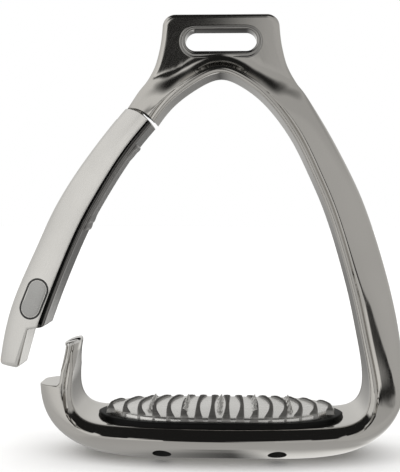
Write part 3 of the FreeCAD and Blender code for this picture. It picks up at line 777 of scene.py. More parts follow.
def make_tongue(material):
    """Hinge knuckle and its web, part of the same forging."""
    outline = web_outline(TONGUE_R, WEB_LENGTH, WEB_HALF)[::-1]
    slab = rounded_slab(outline, -TONGUE_HALF, TONGUE_HALF)
    piece = new_piece("frame_knuckle", skinned(slab), "frame", material)
    cut_away(piece, tool(*prism_shape(circle(PIVOT, BUSH_R, 64), -THROUGH, THROUGH)))
    piece.data.set_sharp_from_angle(angle=math.radians(40))


def make_eye_liner(material):
    """Polished sleeve through the eye with a rounded lip on both faces."""
    lip_y = PLATE_HALF_DEPTH + LINER_PROUD
    half_profile = [(0.0, 3.6), (0.02, 4.1), (0.12, 4.45), (0.3, 4.7), (0.55, 4.86), (0.85, lip_y),
                    (1.15, lip_y - 0.02), (1.4, lip_y - 0.16), (1.5, lip_y - 0.26), (1.6, lip_y - 0.16),
                    (1.8, lip_y - 0.03), (2.05, lip_y), (2.25, lip_y - 0.08), (2.38, lip_y - 0.22),
                    (2.4, PLATE_HALF_DEPTH - 0.3), (1.2, PLATE_HALF_DEPTH - 0.4)]
    profile = half_profile + [(n, -y) for n, y in reversed(half_profile)]
    rings = []
    for grow, y in profile:
        drop = LINER_DROP * min(1.0, max(0.0, (grow - LINER_WALL) / 0.6))
        rings.append(loop_at(eye_outline(grow, drop), y, "Y"))
    new_piece("eye_ring", skinned(rings, closed=True), "frame", material,
              ("eye_liner",), sharp=50)


RECESS_SHIFT = -0.2           # distances in X from the middle of the post magnet's CAD box
MAGNET_SHIFT = -0.5
RECESS_R = 2.5
RECESS_Y = -3.4
RECESS_DEEP = 0.85


def magnet_x(shift):
    """Middle of the post magnet across the stirrup, moved by some millimetres."""
    low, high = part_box("post_magnet")
    return (low.x + high.x) / 2 / MM + shift


def make_latch_plate(material, recess_shade_material):
    """Sloped cap on the post with a round recess in its front half, the recess wall painted near-black as
    shadow.
    """
    tilt = math.atan(POST_TOP_SLOPE)
    grid, outline, post = frame_grid()
    depth = shape_depth(grid[-3:], outline, frame_edge_radius(outline, post))[-1]
    front = [(x, -y) for (x, z), y in zip(grid[-1], depth)]
    loop = np.array(front + [(x, -y) for x, y in reversed(front)])
    centre = loop.mean(axis=0)
    upright = np.array([-math.sin(tilt), 0.0, math.cos(tilt)])

    def level(scale, up):
        flat = centre + (loop - centre) * scale
        base = np.array([(x, y, post_top_z(x, -LATCH_PLATE_T)) for x, y in flat])
        return base + upright * up

    top = LATCH_PLATE_T * math.cos(tilt)
    rounding = ((1.0, -0.7), (0.985, -0.4), (0.94, -0.12), (0.86, -0.02), (0.7, 0.03), (0.4, 0.06))
    levels = [level(1.0, 0.0)] + [level(scale, top + up) for scale, up in rounding]
    piece = new_piece("latch_cap", skinned(levels), "frame", material, ("latch_plate",))
    x = magnet_x(RECESS_SHIFT)
    ring = circle((x, RECESS_Y), RECESS_R, 48)
    cutter = [(a, b, post_top_z(a, up)) for up in (-RECESS_DEEP, 4.0) for a, b in ring]
    cut_away(piece, tool(cutter, wall_faces(len(ring))))

    def on_shaded_recess_wall(a, b, z, slope):
        near = math.hypot(a - x, b - RECESS_Y) < RECESS_R + 0.01 and abs(z - post_top_z(a, 0.0)) < 1.0
        return near and slope < 0.5

    # Painted shadow: the recess wall takes the near-black second material.
    paint(piece, recess_shade_material, on_shaded_recess_wall)
    piece.data.set_sharp_from_angle(angle=math.radians(40))


def make_post_magnet(material):
    """Short round magnet under the cap."""
    x = magnet_x(MAGNET_SHIFT)
    levels = []
    for radius, drop in ((1.6, 4.0), (1.8, 3.8), (1.8, 0.3), (1.6, 0.1)):
        ring = circle((x, 0.0), radius, 40)
        levels.append(np.array([(a, b, post_top_z(a, -LATCH_PLATE_T - drop)) for a, b in ring]))
    new_piece("post_magnet_disc", skinned(levels), "frame", material, ("post_magnet",), sharp=40)


# ---- arm ----------------------------------------------------------------
ARM_CURVE = station_curve(ARM)
ARM_INNER = ARM_CURVE[:, 0:2]
ARM_OUTER = ARM_CURVE[:, 2:4]
OVER_SHELF = SHELF_Z + ARM_GAP
RIM_WIDTH = 2.3
SHELL_START = RIM_WIDTH + 0.1
TAB_CORNER_R = 2.2
TAB_EDGE_R = 1.3
TAB_INNER_R = 2.4
TAB_MIDDLE_Z = 42.0
STEP_FILLET_R = 0.9
STEP_LIP_R = 0.5
SHELL_EDGE_R = 0.3
SHELL_NEAR = np.array([0.0, 0.04, 0.12, 0.22, 0.36, 0.55, 0.8, 1.1])
SHOULDER_WIDTH = 1.5
INSERT_TOP = np.array([-32.6, 128.2])
INSERT_FOOT = np.array([-49.2, 90.0])
INSERT_HALF = 6.6
INSERT_HEAD = 8.0             # lengths of the scalloped ends
INSERT_TAIL = 9.0
INSERT_SUNK = 1.5
INSERT_EDGE_R = 0.45
PIN_HALF = 6.2
SLOT_REACH = 16.0
SLOT_TURN = (-9.2, 51.0)      # web directions relative to the leg, over the whole swing
SHADOW_LIP_TURNS = (42, 60)          # where the painted-shadow lip beside the hinge gap starts and ends
SHADOW_LIP_DEEP = 0.42
SHADOW_LIP_HALF = 8.4
GROOVE_DEEP = 1.6
GROOVE_NARROW = 0.55          # the groove's distance from the shell at the top, and what it gains
GROOVE_GAIN = 0.85
LINER_BEAD_R = 0.9
LINER_TOE_R = 1.3
LINER_PAST = 0.8              # rows that run on past the foot, to be laid flat on the step
LINER_NEAR = np.array([0.0, 0.02, 0.05, 0.1, 0.18, 0.28, 0.4, 0.52, 0.64, 0.74, 0.82])
LANDING_HALF = 8.2
LANDING_CORNER_R = 1.6
BADGE = np.array([-64.5, 58.9])
BADGE_TILT = math.radians(12.5)
BADGE_W = 9.6
BADGE_L = 17.6


def outer_below(height):
    """First point of the arm's outer face under some height."""
    return ARM_OUTER[np.argmax(ARM_OUTER[:, 1] < height)]


def offset_line(distance):
    """A line some way out from the arm's inner face."""
    ray = ARM_OUTER - ARM_INNER
    return ARM_INNER + ray / np.linalg.norm(ray, axis=1)[:, None] * distance


def tab_face(height):
    """Point on the tab's inner face at some height."""
    return np.array([POST_FACE_X - TAB_GAP + POST_LEAN * (height - SHELF_Z), height])


def arm_depth(points):
    """Half depth of the arm's curved faces, with no rim bead."""
    inner_gap, place = nearest(points, ARM_INNER)
    outer_gap, _ = nearest(points, ARM_OUTER)
    half, flat, power = (picked(ARM_CURVE[:, column], place) for column in (4, 5, 6))
    run = np.maximum(inner_gap - SHOULDER_WIDTH, 0.0)
    u = clipped(run / np.maximum(run + outer_gap, TINY))
    return flat + (half - flat) * np.maximum(1.0 - u ** power, 0.0) ** (1.0 / power)


def step_height(x):
    """Height of the arm's landing face over the post, drawn shut."""
    return post_top_z(x, ARM_GAP)


def landing_point(line, lift=0.0):
    """First point of a falling line under the landing face, or under a plane over it."""
    return line[np.argmax(line[:, 1] < step_height(line[:, 0]) + lift)]


def shell_rails():
    """Inner and outer outline of the arm shell, drawn shut, hinge end first, and four marks."""
    inner = offset_line(SHELL_START)
    start = outside_inside(inner)
    step = landing_point(inner, STEP_LIP_R)
    upper = between(inner, start, step)
    toe = np.array([step[0], step_height(step[0])])
    height = step_height(tab_face(TAB_MIDDLE_Z)[0] + STEP_FILLET_R) - 0.05
    centre = tab_face(height - STEP_FILLET_R) + (STEP_FILLET_R * 0.98, 0.0)
    lip = arc(toe + (-STEP_LIP_R, STEP_LIP_R), STEP_LIP_R, 0, -100, 8)
    fillet = arc(centre, STEP_FILLET_R, 84, 180, 16)
    corner_r = TAB_CORNER_R * 0.7
    base = tab_face(OVER_SHELF + corner_r)
    corner = arc(base + (-corner_r, 0.0), corner_r, -4, -80, 10)
    low = outer_below(OVER_SHELF + TAB_CORNER_R)
    side = between(ARM_OUTER, outside_inside(ARM_OUTER), low)
    turn = arc(low + (TAB_CORNER_R, 0.0), TAB_CORNER_R, 180, 262, 14)
    inner_line = np.concatenate([upper[:-3], lip, fillet, [base], corner])
    return inner_line, np.concatenate([side[:-1], turn]), toe, centre, base, low


def outside_inside(line):
    """Point where a line from the joint down the arm crosses the arm's end circle."""
    along = (line - END_ARC) @ LEG
    gap = np.linalg.norm(line - END_ARC, axis=1)
    i = int(np.argmax((gap < ARM_END_R) | (along < 0.0)))
    if along[i - 1] < 0.0:
        return line[i]
    t = (gap[i - 1] - ARM_END_R) / (gap[i - 1] - gap[i])
    return line[i - 1] + t * (line[i] - line[i - 1])


def even_grid(starts, ends):
    """Points along each ray, closer together at both sides."""
    length = np.linalg.norm(ends - starts, axis=1)
    step = np.minimum(1.0, 0.35 * length)[:, None] * SHELL_NEAR[None]
    far = step[:, -1:] + (length[:, None] - step[:, -1:]) * np.sin(FAR_ANGLES[1:])[None]
    t = np.concatenate([step, far], axis=1) / length[:, None]
    return starts[:, None] + t[..., None] * (ends - starts)[:, None]


def make_painted_hinge_shadow(material):
    """Painted shadow: a thin near-black lip on the stub's end, inboard of the knuckle, standing in for the
    shade in the hinge gap.
    """
    first, last = SHADOW_LIP_TURNS
    outline = np.concatenate([arc(END_ARC, STUB_END_R + 0.05, first, last, 20),
                              arc(END_ARC, STUB_END_R - SHADOW_LIP_DEEP, last, first, 20)])
    slab = rounded_slab(outline, -SHADOW_LIP_HALF, SHADOW_LIP_HALF, 0.2)
    new_piece("hinge_shadow_lip", skinned(slab), "frame", material, sharp=40)


def make_arm_shell(material):
    """Satin outer arm with the step over the post and the tab over the shelf."""
    inner, outer, toe, centre, base, low = shell_rails()
    lip = toe + (0.3, 1.5)
    knots = [(inner[0], outer[0], 0.06), (inner[0] - LEG * 0.5, outer[0] - LEG * 0.5, 0.8),
             (lip, outer_below(51.0), 0.15),
             (toe + (-0.5, 0.0), outer_below(48.5), 0.2),
             (centre + (-STEP_FILLET_R * 0.7, STEP_FILLET_R * 0.7), outer_below(46.0), 0.3),
             (centre + (-STEP_FILLET_R, -0.5), outer_below(43.0), 0.6),
             (base, low, 0.15), (inner[-1], outer[-1], 0.1)]
    grid = bowed_end(even_grid(*rail_rows(inner, outer, knots)), ARM_END_R)
    edge = np.concatenate([inner[::-1], grid[0], outer, grid[-1][::-1]])
    along, beyond = lengths(inner), lengths(outer)
    inner_radius = np.interp(along, [0, locate(inner, lip), locate(inner, toe), along[-1]],
                             [0.35, 0.35, 0.6, TAB_INNER_R])
    outer_radius = np.interp(beyond, [0, 3, beyond[-1] - 16, beyond[-1] - 4, beyond[-1]],
                             [SHELL_EDGE_R, 0.05, 0.05, TAB_EDGE_R, TAB_EDGE_R])
    radius = np.concatenate([inner_radius[::-1], np.full(len(grid[0]), SHELL_EDGE_R), outer_radius,
                             np.linspace(TAB_EDGE_R, TAB_INNER_R, len(grid[-1]))])
    points = grid.reshape(-1, 2)
    gap, place = nearest(points, edge)
    depth = (arm_depth(points) - round_drop(gap, picked(radius, place))).reshape(grid.shape[:2])
    piece = new_piece("arm_cover", loaf(grid, depth), "arm", material, ("arm_shell",))
    cut_for_hinge(piece)


def cut_for_hinge(piece):
    """Slot for the knuckle over the whole swing, and the bore of the pin."""
    cut_away(piece, tool(*prism_shape(slot_outline(), -SLOT_HALF, SLOT_HALF)))
    cut_away(piece, tool(*prism_shape(circle(PIVOT, PIN_R, 48), -PIN_HALF, THROUGH)))
    piece.data.set_sharp_from_angle(angle=math.radians(42))


def slot_outline():
    """Room for the knuckle and its web over the whole swing, seen at the rest pose."""
    radius = TONGUE_R + KNUCKLE_GAP
    web = math.degrees(math.atan2(LEG[1], LEG[0]))
    first, last = web + SLOT_TURN[0], web + SLOT_TURN[1]

    def spoke(turn, length):
        return PIVOT + length * np.array([math.cos(math.radians(turn)), math.sin(math.radians(turn))])

    outline = [spoke(first, SLOT_REACH) - PIVOT + spoke(first - 90, radius)]
    outline += [spoke(a, math.hypot(SLOT_REACH, radius)) for a in np.linspace(first, last, 12)]
    outline += [spoke(last, SLOT_REACH) - PIVOT + spoke(last + 90, radius)]
    outline += list(arc(PIVOT, radius, last + 90, first + 270, 30))
    return np.array(outline)


def strip_grid(rows, spans):
    """Points beside the arm's inner face: row places along it, and distances out from it."""
    inner = at_length(ARM_INNER, rows)
    outer = at_length(offset_line(1.0), rows)
    return inner[:, None] + (outer - inner)[:, None] * spans[..., None]


def make_arm_liner(material, groove_shade_material):
    """Strip along the arm's inner side, with a rounded rim and a deep groove beside the shell, the groove's
    faces painted near-black as shade.
    """
    start = locate(ARM_INNER, outside_inside(ARM_INNER))
    stop = locate(ARM_INNER, landing_point(ARM_INNER)) + LINER_PAST
    rows = np.concatenate([np.arange(start, start + 1.0, 0.1), np.arange(start + 1.0, stop - 3.0, 0.6),
                           np.linspace(stop - 3.0, stop, 22)])
    down = ((rows - start) / (stop - start))[:, None]
    groove = RIM_WIDTH - GROOVE_NARROW - GROOVE_GAIN * down
    spans = np.concatenate([LINER_NEAR + 0.0 * groove, groove + (-0.1, 0.0, 0.06, 0.12),
                            np.full((len(rows), 1), RIM_WIDTH)], axis=1)
    left = clipped((rows - (stop - LINER_PAST - LINER_TOE_R)) / LINER_TOE_R)
    toe = (LINER_TOE_R * (1.0 - np.sqrt(1.0 - left ** 2)))[:, None]
    spans = toe + spans * (1.0 - toe / RIM_WIDTH)
    grid = bowed_end(strip_grid(rows, spans), ARM_END_R)
    grid[..., 1] = np.maximum(grid[..., 1], step_height(grid[..., 0]) + 0.05)
    half = picked(ARM_CURVE[:, 4], np.interp(rows, lengths(ARM_INNER), np.arange(len(ARM_INNER))))
    depth = half[:, None] - round_drop(spans, LINER_BEAD_R)
    depth = depth - round_drop(np.clip(stop - LINER_PAST - rows, 0.0, 9.0), 1.2)[:, None]
    depth = depth - np.where(spans > groove + 0.03, GROOVE_DEEP + GROOVE_DEEP * down, 0.0)
    piece = new_piece("arm_rim", loaf(grid, depth), "arm", material, ("arm_liner",))
    # Painted shade: the sunken groove faces on the front and back take the near-black second material.
    piece.data.materials.append(groove_shade_material)
    columns = grid.shape[1]
    around = 2 * (columns + WALLS - 1)
    first = len(LINER_NEAR) + 1
    opposite = 2 * columns + WALLS - 2
    for face in piece.data.polygons:
        used = [v % around for v in face.vertices if v < around * len(rows)]
        front = used and min(used) >= first and max(used) < columns
        back = used and min(used) > opposite - columns and max(used) <= opposite - first
        face.material_index = int(bool(front or back))
    cut_for_hinge(piece)


def make_arm_insert(material):
    """Raised cover on the inner side: proud at its scalloped ends, shallow between."""
    start = locate(ARM_INNER, INSERT_TOP)
    stop = locate(ARM_INNER, INSERT_FOOT)
    head_stop, tail_start = start + INSERT_HEAD, stop - INSERT_TAIL
    rows = np.concatenate([np.linspace(start, head_stop, 30), np.arange(head_stop + 0.5, tail_start, 0.7),
                           np.linspace(tail_start, stop, 34)])
    head = np.interp(rows - start, (0, 0.25, 0.6, 1.6, 3.0, 5.0, 7.5, 9.5),
                     (0.1, 0.7, 1.0, 1.05, 0.75, 0.7, 0.4, 0.45))
    tail = np.interp(stop - rows, (0, 0.3, 0.9, 1.8, 3.0, 3.6, 4.6, 6.0, 7.0, 8.5),
                     (0.0, 0.45, 0.8, 0.95, 0.7, 0.55, 0.8, 0.7, 0.5, 0.45))
    proud = np.where(rows > tail_start, tail, head)[:, None]
    across = np.array([0.0, 0.04, 0.12, 0.25, 0.42, 0.7, 1.0])
    spans = -proud + (proud + INSERT_SUNK) * across
    grid = strip_grid(rows, spans)
    depth = INSERT_HALF - round_drop(spans + proud, INSERT_EDGE_R)
    new_piece("arm_cover_strip", loaf(grid, depth), "arm", material,
              ("arm_insert",), sharp=40)


def make_strike_plate(material):
    """Dark plate let into the face that lands on the post."""
    inner_x = landing_point(ARM_INNER)[0] - 0.9
    outer_x = tab_face(TAB_MIDDLE_Z)[0] + STEP_FILLET_R + 0.6
    middle_x, half_x = (inner_x + outer_x) / 2, (inner_x - outer_x) / 2 - LANDING_CORNER_R
    half_y = LANDING_HALF - LANDING_CORNER_R
    outline = np.concatenate([
        arc((middle_x + sx * half_x, sy * half_y), LANDING_CORNER_R, start, start + 90, 9)
        for sx, sy, start in ((1, 1, 0), (-1, 1, 90), (-1, -1, 180), (1, -1, 270))])
    middle = outline.mean(axis=0)
    loops = []
    for shrink, lift in ((1.0, STRIKE_T), (1.0, 0.15), (0.985, 0.03), (0.95, -0.06), (0.6, -0.08)):
        flat = middle + (outline - middle) * shrink
        loops.append(loop_at(flat, step_height(flat[:, 0]) + lift))
    new_piece("arm_landing", skinned(loops), "arm", material,
              ("arm_strike_plate",), sharp=35)


def badge_loop(inset, lift):
    """Obround on the front of the arm, some way in from the badge's edge."""
    r = BADGE_W / 2 - inset
    half = (BADGE_L - BADGE_W) / 2
    flat = np.concatenate([arc((0.0, half), r, 0, 180, 24), arc((0.0, -half), r, 180, 360, 24)])
    c, s = math.cos(BADGE_TILT), math.sin(BADGE_TILT)
    points = BADGE + np.stack([flat[:, 0] * c + flat[:, 1] * s, -flat[:, 0] * s + flat[:, 1] * c], axis=1)
    return loop_at(points, -(arm_depth(points) + lift), "Y")


def make_badge(face_material, rim_material):
    """Plain inlay with a dark rim; it carries no mark."""
    rim = ((0.0, -0.8), (0.0, 0.03), (0.07, 0.1), (0.2, 0.14), (0.45, 0.15), (0.7, 0.12), (0.82, 0.05),
           (0.9, -0.08), (0.9, -0.8))
    rings = [badge_loop(inset, lift) for inset, lift in rim]
    new_piece("badge_rim", skinned(rings, closed=True), "arm", rim_material,
              ("badge_bezel",), sharp=50)
    plate = ((0.88, -0.8), (0.88, -0.06), (1.0, -0.01), (1.3, 0.02), (2.2, 0.05), (3.2, 0.06), (4.2, 0.07),
             (4.7, 0.07))
    levels = [badge_loop(inset, lift) for inset, lift in plate]
    new_piece("badge_inlay", skinned(levels), "arm", face_material,
              ("badge_plate",), sharp=50)


# ---- tread --------------------------------------------------------------
GASKET_HALF = (51.0, 25.2)
PAD_HALF = (47.6, 22.4)
PLAN_POINTS = 220
GASKET_Z = 14.2
PAD_Z = 17.0
PAD_T = 1.5
PAD_CROWN = 0.9
RIB_PITCH = 5.7
RIB_COUNT = 16
RIB_BOW = 3.0
RIB_H = 0.85
RIB_LEAN = 3.0
RIB_WAIST = 0.85
RIB_FOOT = 1.95
RIB_SUNK = 0.3
RIB_STEP = 0.26
RIB_END_DROP = 1.2
RIB_END_RUN = 1.5
TOOTH_PITCH = 1.15
TOOTH_FLOOR = 0.30
SPIKE_COLUMNS = 5
SPIKE_PITCH = 14.25
SPIKE_ROWS = (-11.0, -3.7, 3.7, 11.0)
SPIKE_LEAN = 0.16
# Heights over the pad, and the radius at each.
SPIKE_PROFILE = ((-0.4, 1.75), (0.1, 1.7), (0.5, 1.45), (1.0, 1.1), (1.5, 0.75), (1.95, 0.4), (2.3, 0.12))
HEAD_R = 3.3
HEAD_Z = 5.8
HEAD_KEY = 3.0
SHANK_R = 1.75
SHANK_TOP_Z = 17.8


def plan_outline(half_x, half_y):
    """Straight-sided oblong running to a soft point at each end."""
    turn = np.linspace(0.0, 2 * math.pi, 4001)
    c, s = np.cos(turn), np.sin(turn)
    x = half_x * np.sign(c) * np.abs(c) ** 0.5
    y = half_y * np.sign(s) * np.abs(s) ** (4 / 3)
    line = np.stack([x, y], axis=1)
    along = lengths(line)
    return at_length(line, np.linspace(0.0, along[-1], PLAN_POINTS + 1)[:-1])


def crown_z(y):
    """Height of the arched pad top."""
    return PAD_Z + PAD_T + PAD_CROWN * (1.0 - (y / PAD_HALF[1]) ** 2)


def make_gasket(material):
    """Black rubber seat that shows as a band round the pad."""
    profile = ((0.0, GASKET_Z), (0.0, 16.35), (0.08, 16.62), (0.28, 16.85), (0.55, 16.96), (0.9, 17.0),
               (7.0, 17.0))
    loops = [loop_at(plan_outline(GASKET_HALF[0] - d, GASKET_HALF[1] - d), z) for d, z in profile]
    new_piece("gasket_seat", skinned(loops), "frame", material, ("pad_gasket",), sharp=50)


def make_pad(material):
    """Pad plate with a rolled edge and a gently arched top."""
    loops = [loop_at(plan_outline(*PAD_HALF), PAD_Z), loop_at(plan_outline(*PAD_HALF), PAD_Z + 0.55)]
    for inset, under in ((0.1, 0.62), (0.28, 0.36), (0.55, 0.16), (0.95, 0.04), (1.5, 0.0), (4.0, 0.0),
                         (8.0, 0.0), (12.0, 0.0), (16.0, 0.0), (19.5, 0.0), (21.6, 0.0)):
        flat = plan_outline(PAD_HALF[0] - inset, PAD_HALF[1] - inset)
        loops.append(loop_at(flat, crown_z(flat[:, 1]) - under))
    new_piece("pad_plate", skinned(loops), "frame", material, ("tread_pad",), sharp=50)


def rib_shape(index):
    """One serrated rib, bowed away from the middle, with flared feet over the pad's edge."""
    side = (index - (RIB_COUNT - 1) / 2) / (RIB_COUNT / 2)
    middle = (index - (RIB_COUNT - 1) / 2) * RIB_PITCH
    reach = (PAD_HALF[1] + 0.1) * (1.0 - min(1.0, abs(middle) / (PAD_HALF[0] - 0.8)) ** 4) ** (2 / 3)
    ys = np.linspace(-reach, reach, max(9, int(2 * reach / RIB_STEP)))
    loops = []
    for y in ys:
        end = reach - abs(y)
        bow = 1.0 - 2.0 * (y / (PAD_HALF[1] + 2.0)) ** 2
        x = middle + RIB_BOW * side * bow - RIB_LEAN * side * max(0.0, y / reach) ** 1.5
        phase = (y / TOOTH_PITCH) % 1.0
        tooth = TOOTH_FLOOR + (1.0 - TOOTH_FLOOR) * (1.0 - abs(2.0 * phase - 1.0)) ** 0.8
        wide = RIB_WAIST + (RIB_FOOT - RIB_WAIST) * (abs(y) / reach) ** 2.0
        drop = RIB_END_DROP * max(0.0, 1.0 - end / RIB_END_RUN) ** 2
        height = RIB_H * tooth * min(1.0, 0.45 + end / 0.8)
        base = crown_z(y) - drop - RIB_SUNK
        section = ((1.0, 0.0), (0.92, 0.4), (0.74, 0.34 + height * 0.8), (0.0, 0.34 + height))
        loops.append([(x - wide * out, y, base + up) for out, up in section]
                     + [(x + wide * out, y, base + up) for out, up in section[-2::-1]])
    return skinned(loops)


def make_ribs(material):
    """All serrated ribs, as one piece."""
    ribs = merged([rib_shape(i) for i in range(RIB_COUNT)])
    new_piece("pad_ribs", ribs, "frame", material, ("tread_ribs",), sharp=28)


def spike_shape(x, y, turn):
    """Fluted pointed grip spike, like a small flame leaning back."""
    angles = np.linspace(0.0, 2 * math.pi, 37)[:-1]
    flutes = 0.62 + 0.38 * np.abs(np.cos(3.0 * (angles + turn)))
    loops = []
    for up, radius in SPIKE_PROFILE:
        r = radius * flutes
        lean = SPIKE_LEAN * up * up
        ring = np.stack([x + 0.8 * r * np.cos(angles) + lean * 0.6,
                         y + 1.25 * r * np.sin(angles) + lean], axis=1)
        loops.append(loop_at(ring, crown_z(y) + up))
    return skinned(loops)


def make_spikes(material):
    """All grip spikes, as one piece."""
    spikes = merged([spike_shape((i - (SPIKE_COLUMNS - 1) / 2) * SPIKE_PITCH, y, 0.3 * k + 0.2 * i)
                     for i in range(SPIKE_COLUMNS) for k, y in enumerate(SPIKE_ROWS)])
    new_piece("pad_spikes", spikes, "frame", material, ("tread_spikes",), sharp=30)


def screw_shape(x, y):
    """Socket-head screw seen from below: knurled head, chamfer and hexagonal key hole."""
    angles = np.linspace(0.0, 2 * math.pi, 145)[:-1]
    knurl = 0.09 * (1.0 - np.abs(2.0 * ((angles * 18 / math.pi) % 1.0) - 1.0))
    hexagon = HEAD_KEY / 2 / np.cos((angles + math.pi / 6) % (math.pi / 3) - math.pi / 6)
    profile = [(SHANK_R, SHANK_TOP_Z), (SHANK_R, POCKET_TOP_Z), (HEAD_R - 0.2, POCKET_TOP_Z),
               (HEAD_R - knurl, POCKET_TOP_Z - 0.2), (HEAD_R - knurl, HEAD_Z + 0.45),
               (HEAD_R - 0.14, HEAD_Z + 0.3), (HEAD_R - 0.45, HEAD_Z), (hexagon + 0.12, HEAD_Z),
               (hexagon, HEAD_Z + 0.15), (hexagon, HEAD_Z + 1.9)]
    return skinned([loop_at(np.stack([x + r * np.cos(angles), y + r * np.sin(angles)], axis=1), z)
                    for r, z in profile])


def make_screws(material):
    """The four screws in the pockets under the tread, as one piece."""
    screws = merged([screw_shape(sx * SCREW_X, sy * SCREW_Y) for sx in (-1, 1) for sy in (-1, 1)])
    new_piece("pad_screws", screws, "frame", material, ("tread_screws",), sharp=25)


# ---- materials ----------------------------------------------------------
# Stretch of the brush marks: long along a piece, short across it.
BRUSH_SCALE = (6.0, 260.0, 260.0)


def add_node(nodes, kind, **values):
    """New shader node with the named inputs set, where _ stands for a space."""
    node = nodes.new("ShaderNode" + kind)
    for name, value in values.items():
        node.inputs[name.replace("_", " ")].default_value = value
    return node


def ramp_node(nodes, stops):
    """Colour ramp through the given places and colours."""
    node = nodes.new("ShaderNodeValToRGB")
    band = node.color_ramp
    while len(band.elements) < len(stops):
        band.elements.new(0.5)
    for element, (at, colour) in zip(band.elements, stops):
        element.position = at
        element.color = (*colour, 1.0)
    return node


def grey(level):
    """Colour of one brightness."""
    return (level, level, level)


def plain_material(name):
    """New material with its node tree and its shader."""
    material = bpy.data.materials.new(name)
    material.use_nodes = True
    return material, material.node_tree, material.node_tree.nodes["Principled BSDF"]


def noise_colour(tree, shader, scale, detail, stops):
    """Base colour that follows a soft noise over the object."""
    place = tree.nodes.new("ShaderNodeTexCoord")
    clouds = add_node(tree.nodes, "TexNoise", Scale=scale, Detail=detail)
    tree.links.new(place.outputs["Object"], clouds.inputs["Vector"])
    tone = ramp_node(tree.nodes, stops)
    tree.links.new(clouds.outputs["Fac"], tone.inputs["Fac"])
    tree.links.new(tone.outputs["Color"], shader.inputs["Base Color"])
    return clouds


def grain_surface(tree, shader, grain, gloss, bump):
    """Roughness and bump that follow the same marks."""
    spread = add_node(tree.nodes, "MapRange", **gloss)
    tree.links.new(grain.outputs["Fac"], spread.inputs["Value"])
    tree.links.new(spread.outputs["Result"], shader.inputs["Roughness"])
    relief = add_node(tree.nodes, "Bump", **bump)
    tree.links.new(grain.outputs["Fac"], relief.inputs["Height"])
    tree.links.new(relief.outputs["Normal"], shader.inputs["Normal"])


def metal(name, colour, roughness, brush, vary=0.06, coords="UV"):
    """Metal with fine lengthwise brush marks and soft tone changes."""
    material, tree, shader = plain_material(name)
    shader.inputs["Metallic"].default_value = 1.0
    noise_colour(tree, shader, 55.0, 3.0, ((0.3, [c * (1.0 - vary) for c in colour]),
                                           (0.7, [min(1.0, c * (1.0 + vary)) for c in colour])))
    place = tree.nodes.new("ShaderNodeTexCoord")
    stretch = add_node(tree.nodes, "Mapping", Scale=BRUSH_SCALE)
    tree.links.new(place.outputs[coords], stretch.inputs["Vector"])
    marks = add_node(tree.nodes, "TexNoise", Scale=20.0, Detail=6.0, Roughness=0.6)
    tree.links.new(stretch.outputs["Vector"], marks.inputs["Vector"])
    gloss = {"From_Min": 0.3, "From_Max": 0.7, "To_Min": roughness * 0.8, "To_Max": roughness * 1.25}
    grain_surface(tree, shader, marks, gloss, {"Strength": brush, "Distance": 0.0004})
    return material


def rubber(name):
    """Matte black rubber with a fine grain."""
    material, tree, shader = plain_material(name)
    shader.inputs["Specular IOR Level"].default_value = 0.12
    grain = noise_colour(tree, shader, 1800.0, 4.0, ((0.0, grey(0.001)), (1.0, grey(0.004))))
    grain_surface(tree, shader, grain, {"To_Min": 0.35, "To_Max": 0.6},
                  {"Strength": 0.15, "Distance": 0.0001})
    return material


def floor_material():
    """Pale matte floor."""
    material, tree, shader = plain_material("pale_floor")
    shader.inputs["Roughness"].default_value = 0.9
    shader.inputs["Specular IOR Level"].default_value = 0.0
    noise_colour(tree, shader, 3.0, 2.0, ((0.0, grey(0.93)), (1.0, grey(0.95))))
    return material


# ---- studio -------------------------------------------------------------
def studio_world():
    """Soft studio: bright on the left, mid grey on the right, a dark gap straight ahead and overhead."""
    world = bpy.data.worlds.new("studio")
    bpy.context.scene.world = world
    world.use_nodes = True
    nodes, links = world.node_tree.nodes, world.node_tree.links
    nodes.clear()

    def math_node(operation, *values):
        node = nodes.new("ShaderNodeMath")
        node.operation = operation
        for socket, value in zip(node.inputs, values):
            if isinstance(value, (int, float)):
                socket.default_value = value
            else:
                links.new(value, socket)
        return node.outputs[0]

    def by_angle(stops):
        node = ramp_node(nodes, [(at / 360.0 + 0.5, grey(level)) for at, level in stops])
        links.new(turn, node.inputs["Fac"])
        return node.outputs["Color"]

    place = nodes.new("ShaderNodeTexCoord")
    split = nodes.new("ShaderNodeSeparateXYZ")
    links.new(place.outputs["Generated"], split.inputs[0])
    x, y, z = split.outputs
    azimuth = math_node("ARCTAN2", x, math_node("MULTIPLY", y, -1.0))
    turn = math_node("ADD", math_node("DIVIDE", azimuth, 2 * math.pi), 0.5)
    height = math_node("ARCSINE", z)
    shade = by_angle(GROUND)
    for stops, start, stop in BANDS:
        rise = add_node(nodes, "MapRange", From_Min=math.radians(start), From_Max=math.radians(stop))
        rise.interpolation_type = "SMOOTHSTEP"
        links.new(height, rise.inputs["Value"])
        mix = nodes.new("ShaderNodeMix")
        mix.data_type = "RGBA"
        links.new(rise.outputs["Result"], mix.inputs["Factor"])
        links.new(shade, mix.inputs["A"])
        links.new(by_angle(stops), mix.inputs["B"])
        shade = mix.outputs["Result"]
    tint = nodes.new("ShaderNodeMix")
    tint.data_type = "RGBA"
    tint.blend_type = "MULTIPLY"
    tint.inputs["Factor"].default_value = 1.0
    tint.inputs["B"].default_value = WARM_TINT
    links.new(shade, tint.inputs["A"])
    shown = nodes.new("ShaderNodeBackground")
    links.new(tint.outputs["Result"], shown.inputs["Color"])
    seen = add_node(nodes, "Background", Color=(1.0, 1.0, 1.0, 1.0))
    path = nodes.new("ShaderNodeLightPath")
    either = nodes.new("ShaderNodeMixShader")
    links.new(path.outputs["Is Camera Ray"], either.inputs["Fac"])
    links.new(shown.outputs[0], either.inputs[1])
    links.new(seen.outputs[0], either.inputs[2])
    out = nodes.new("ShaderNodeOutputWorld")
    links.new(either.outputs[0], out.inputs["Surface"])


WARM_TINT = (1.0, 0.99, 0.965, 1.0)
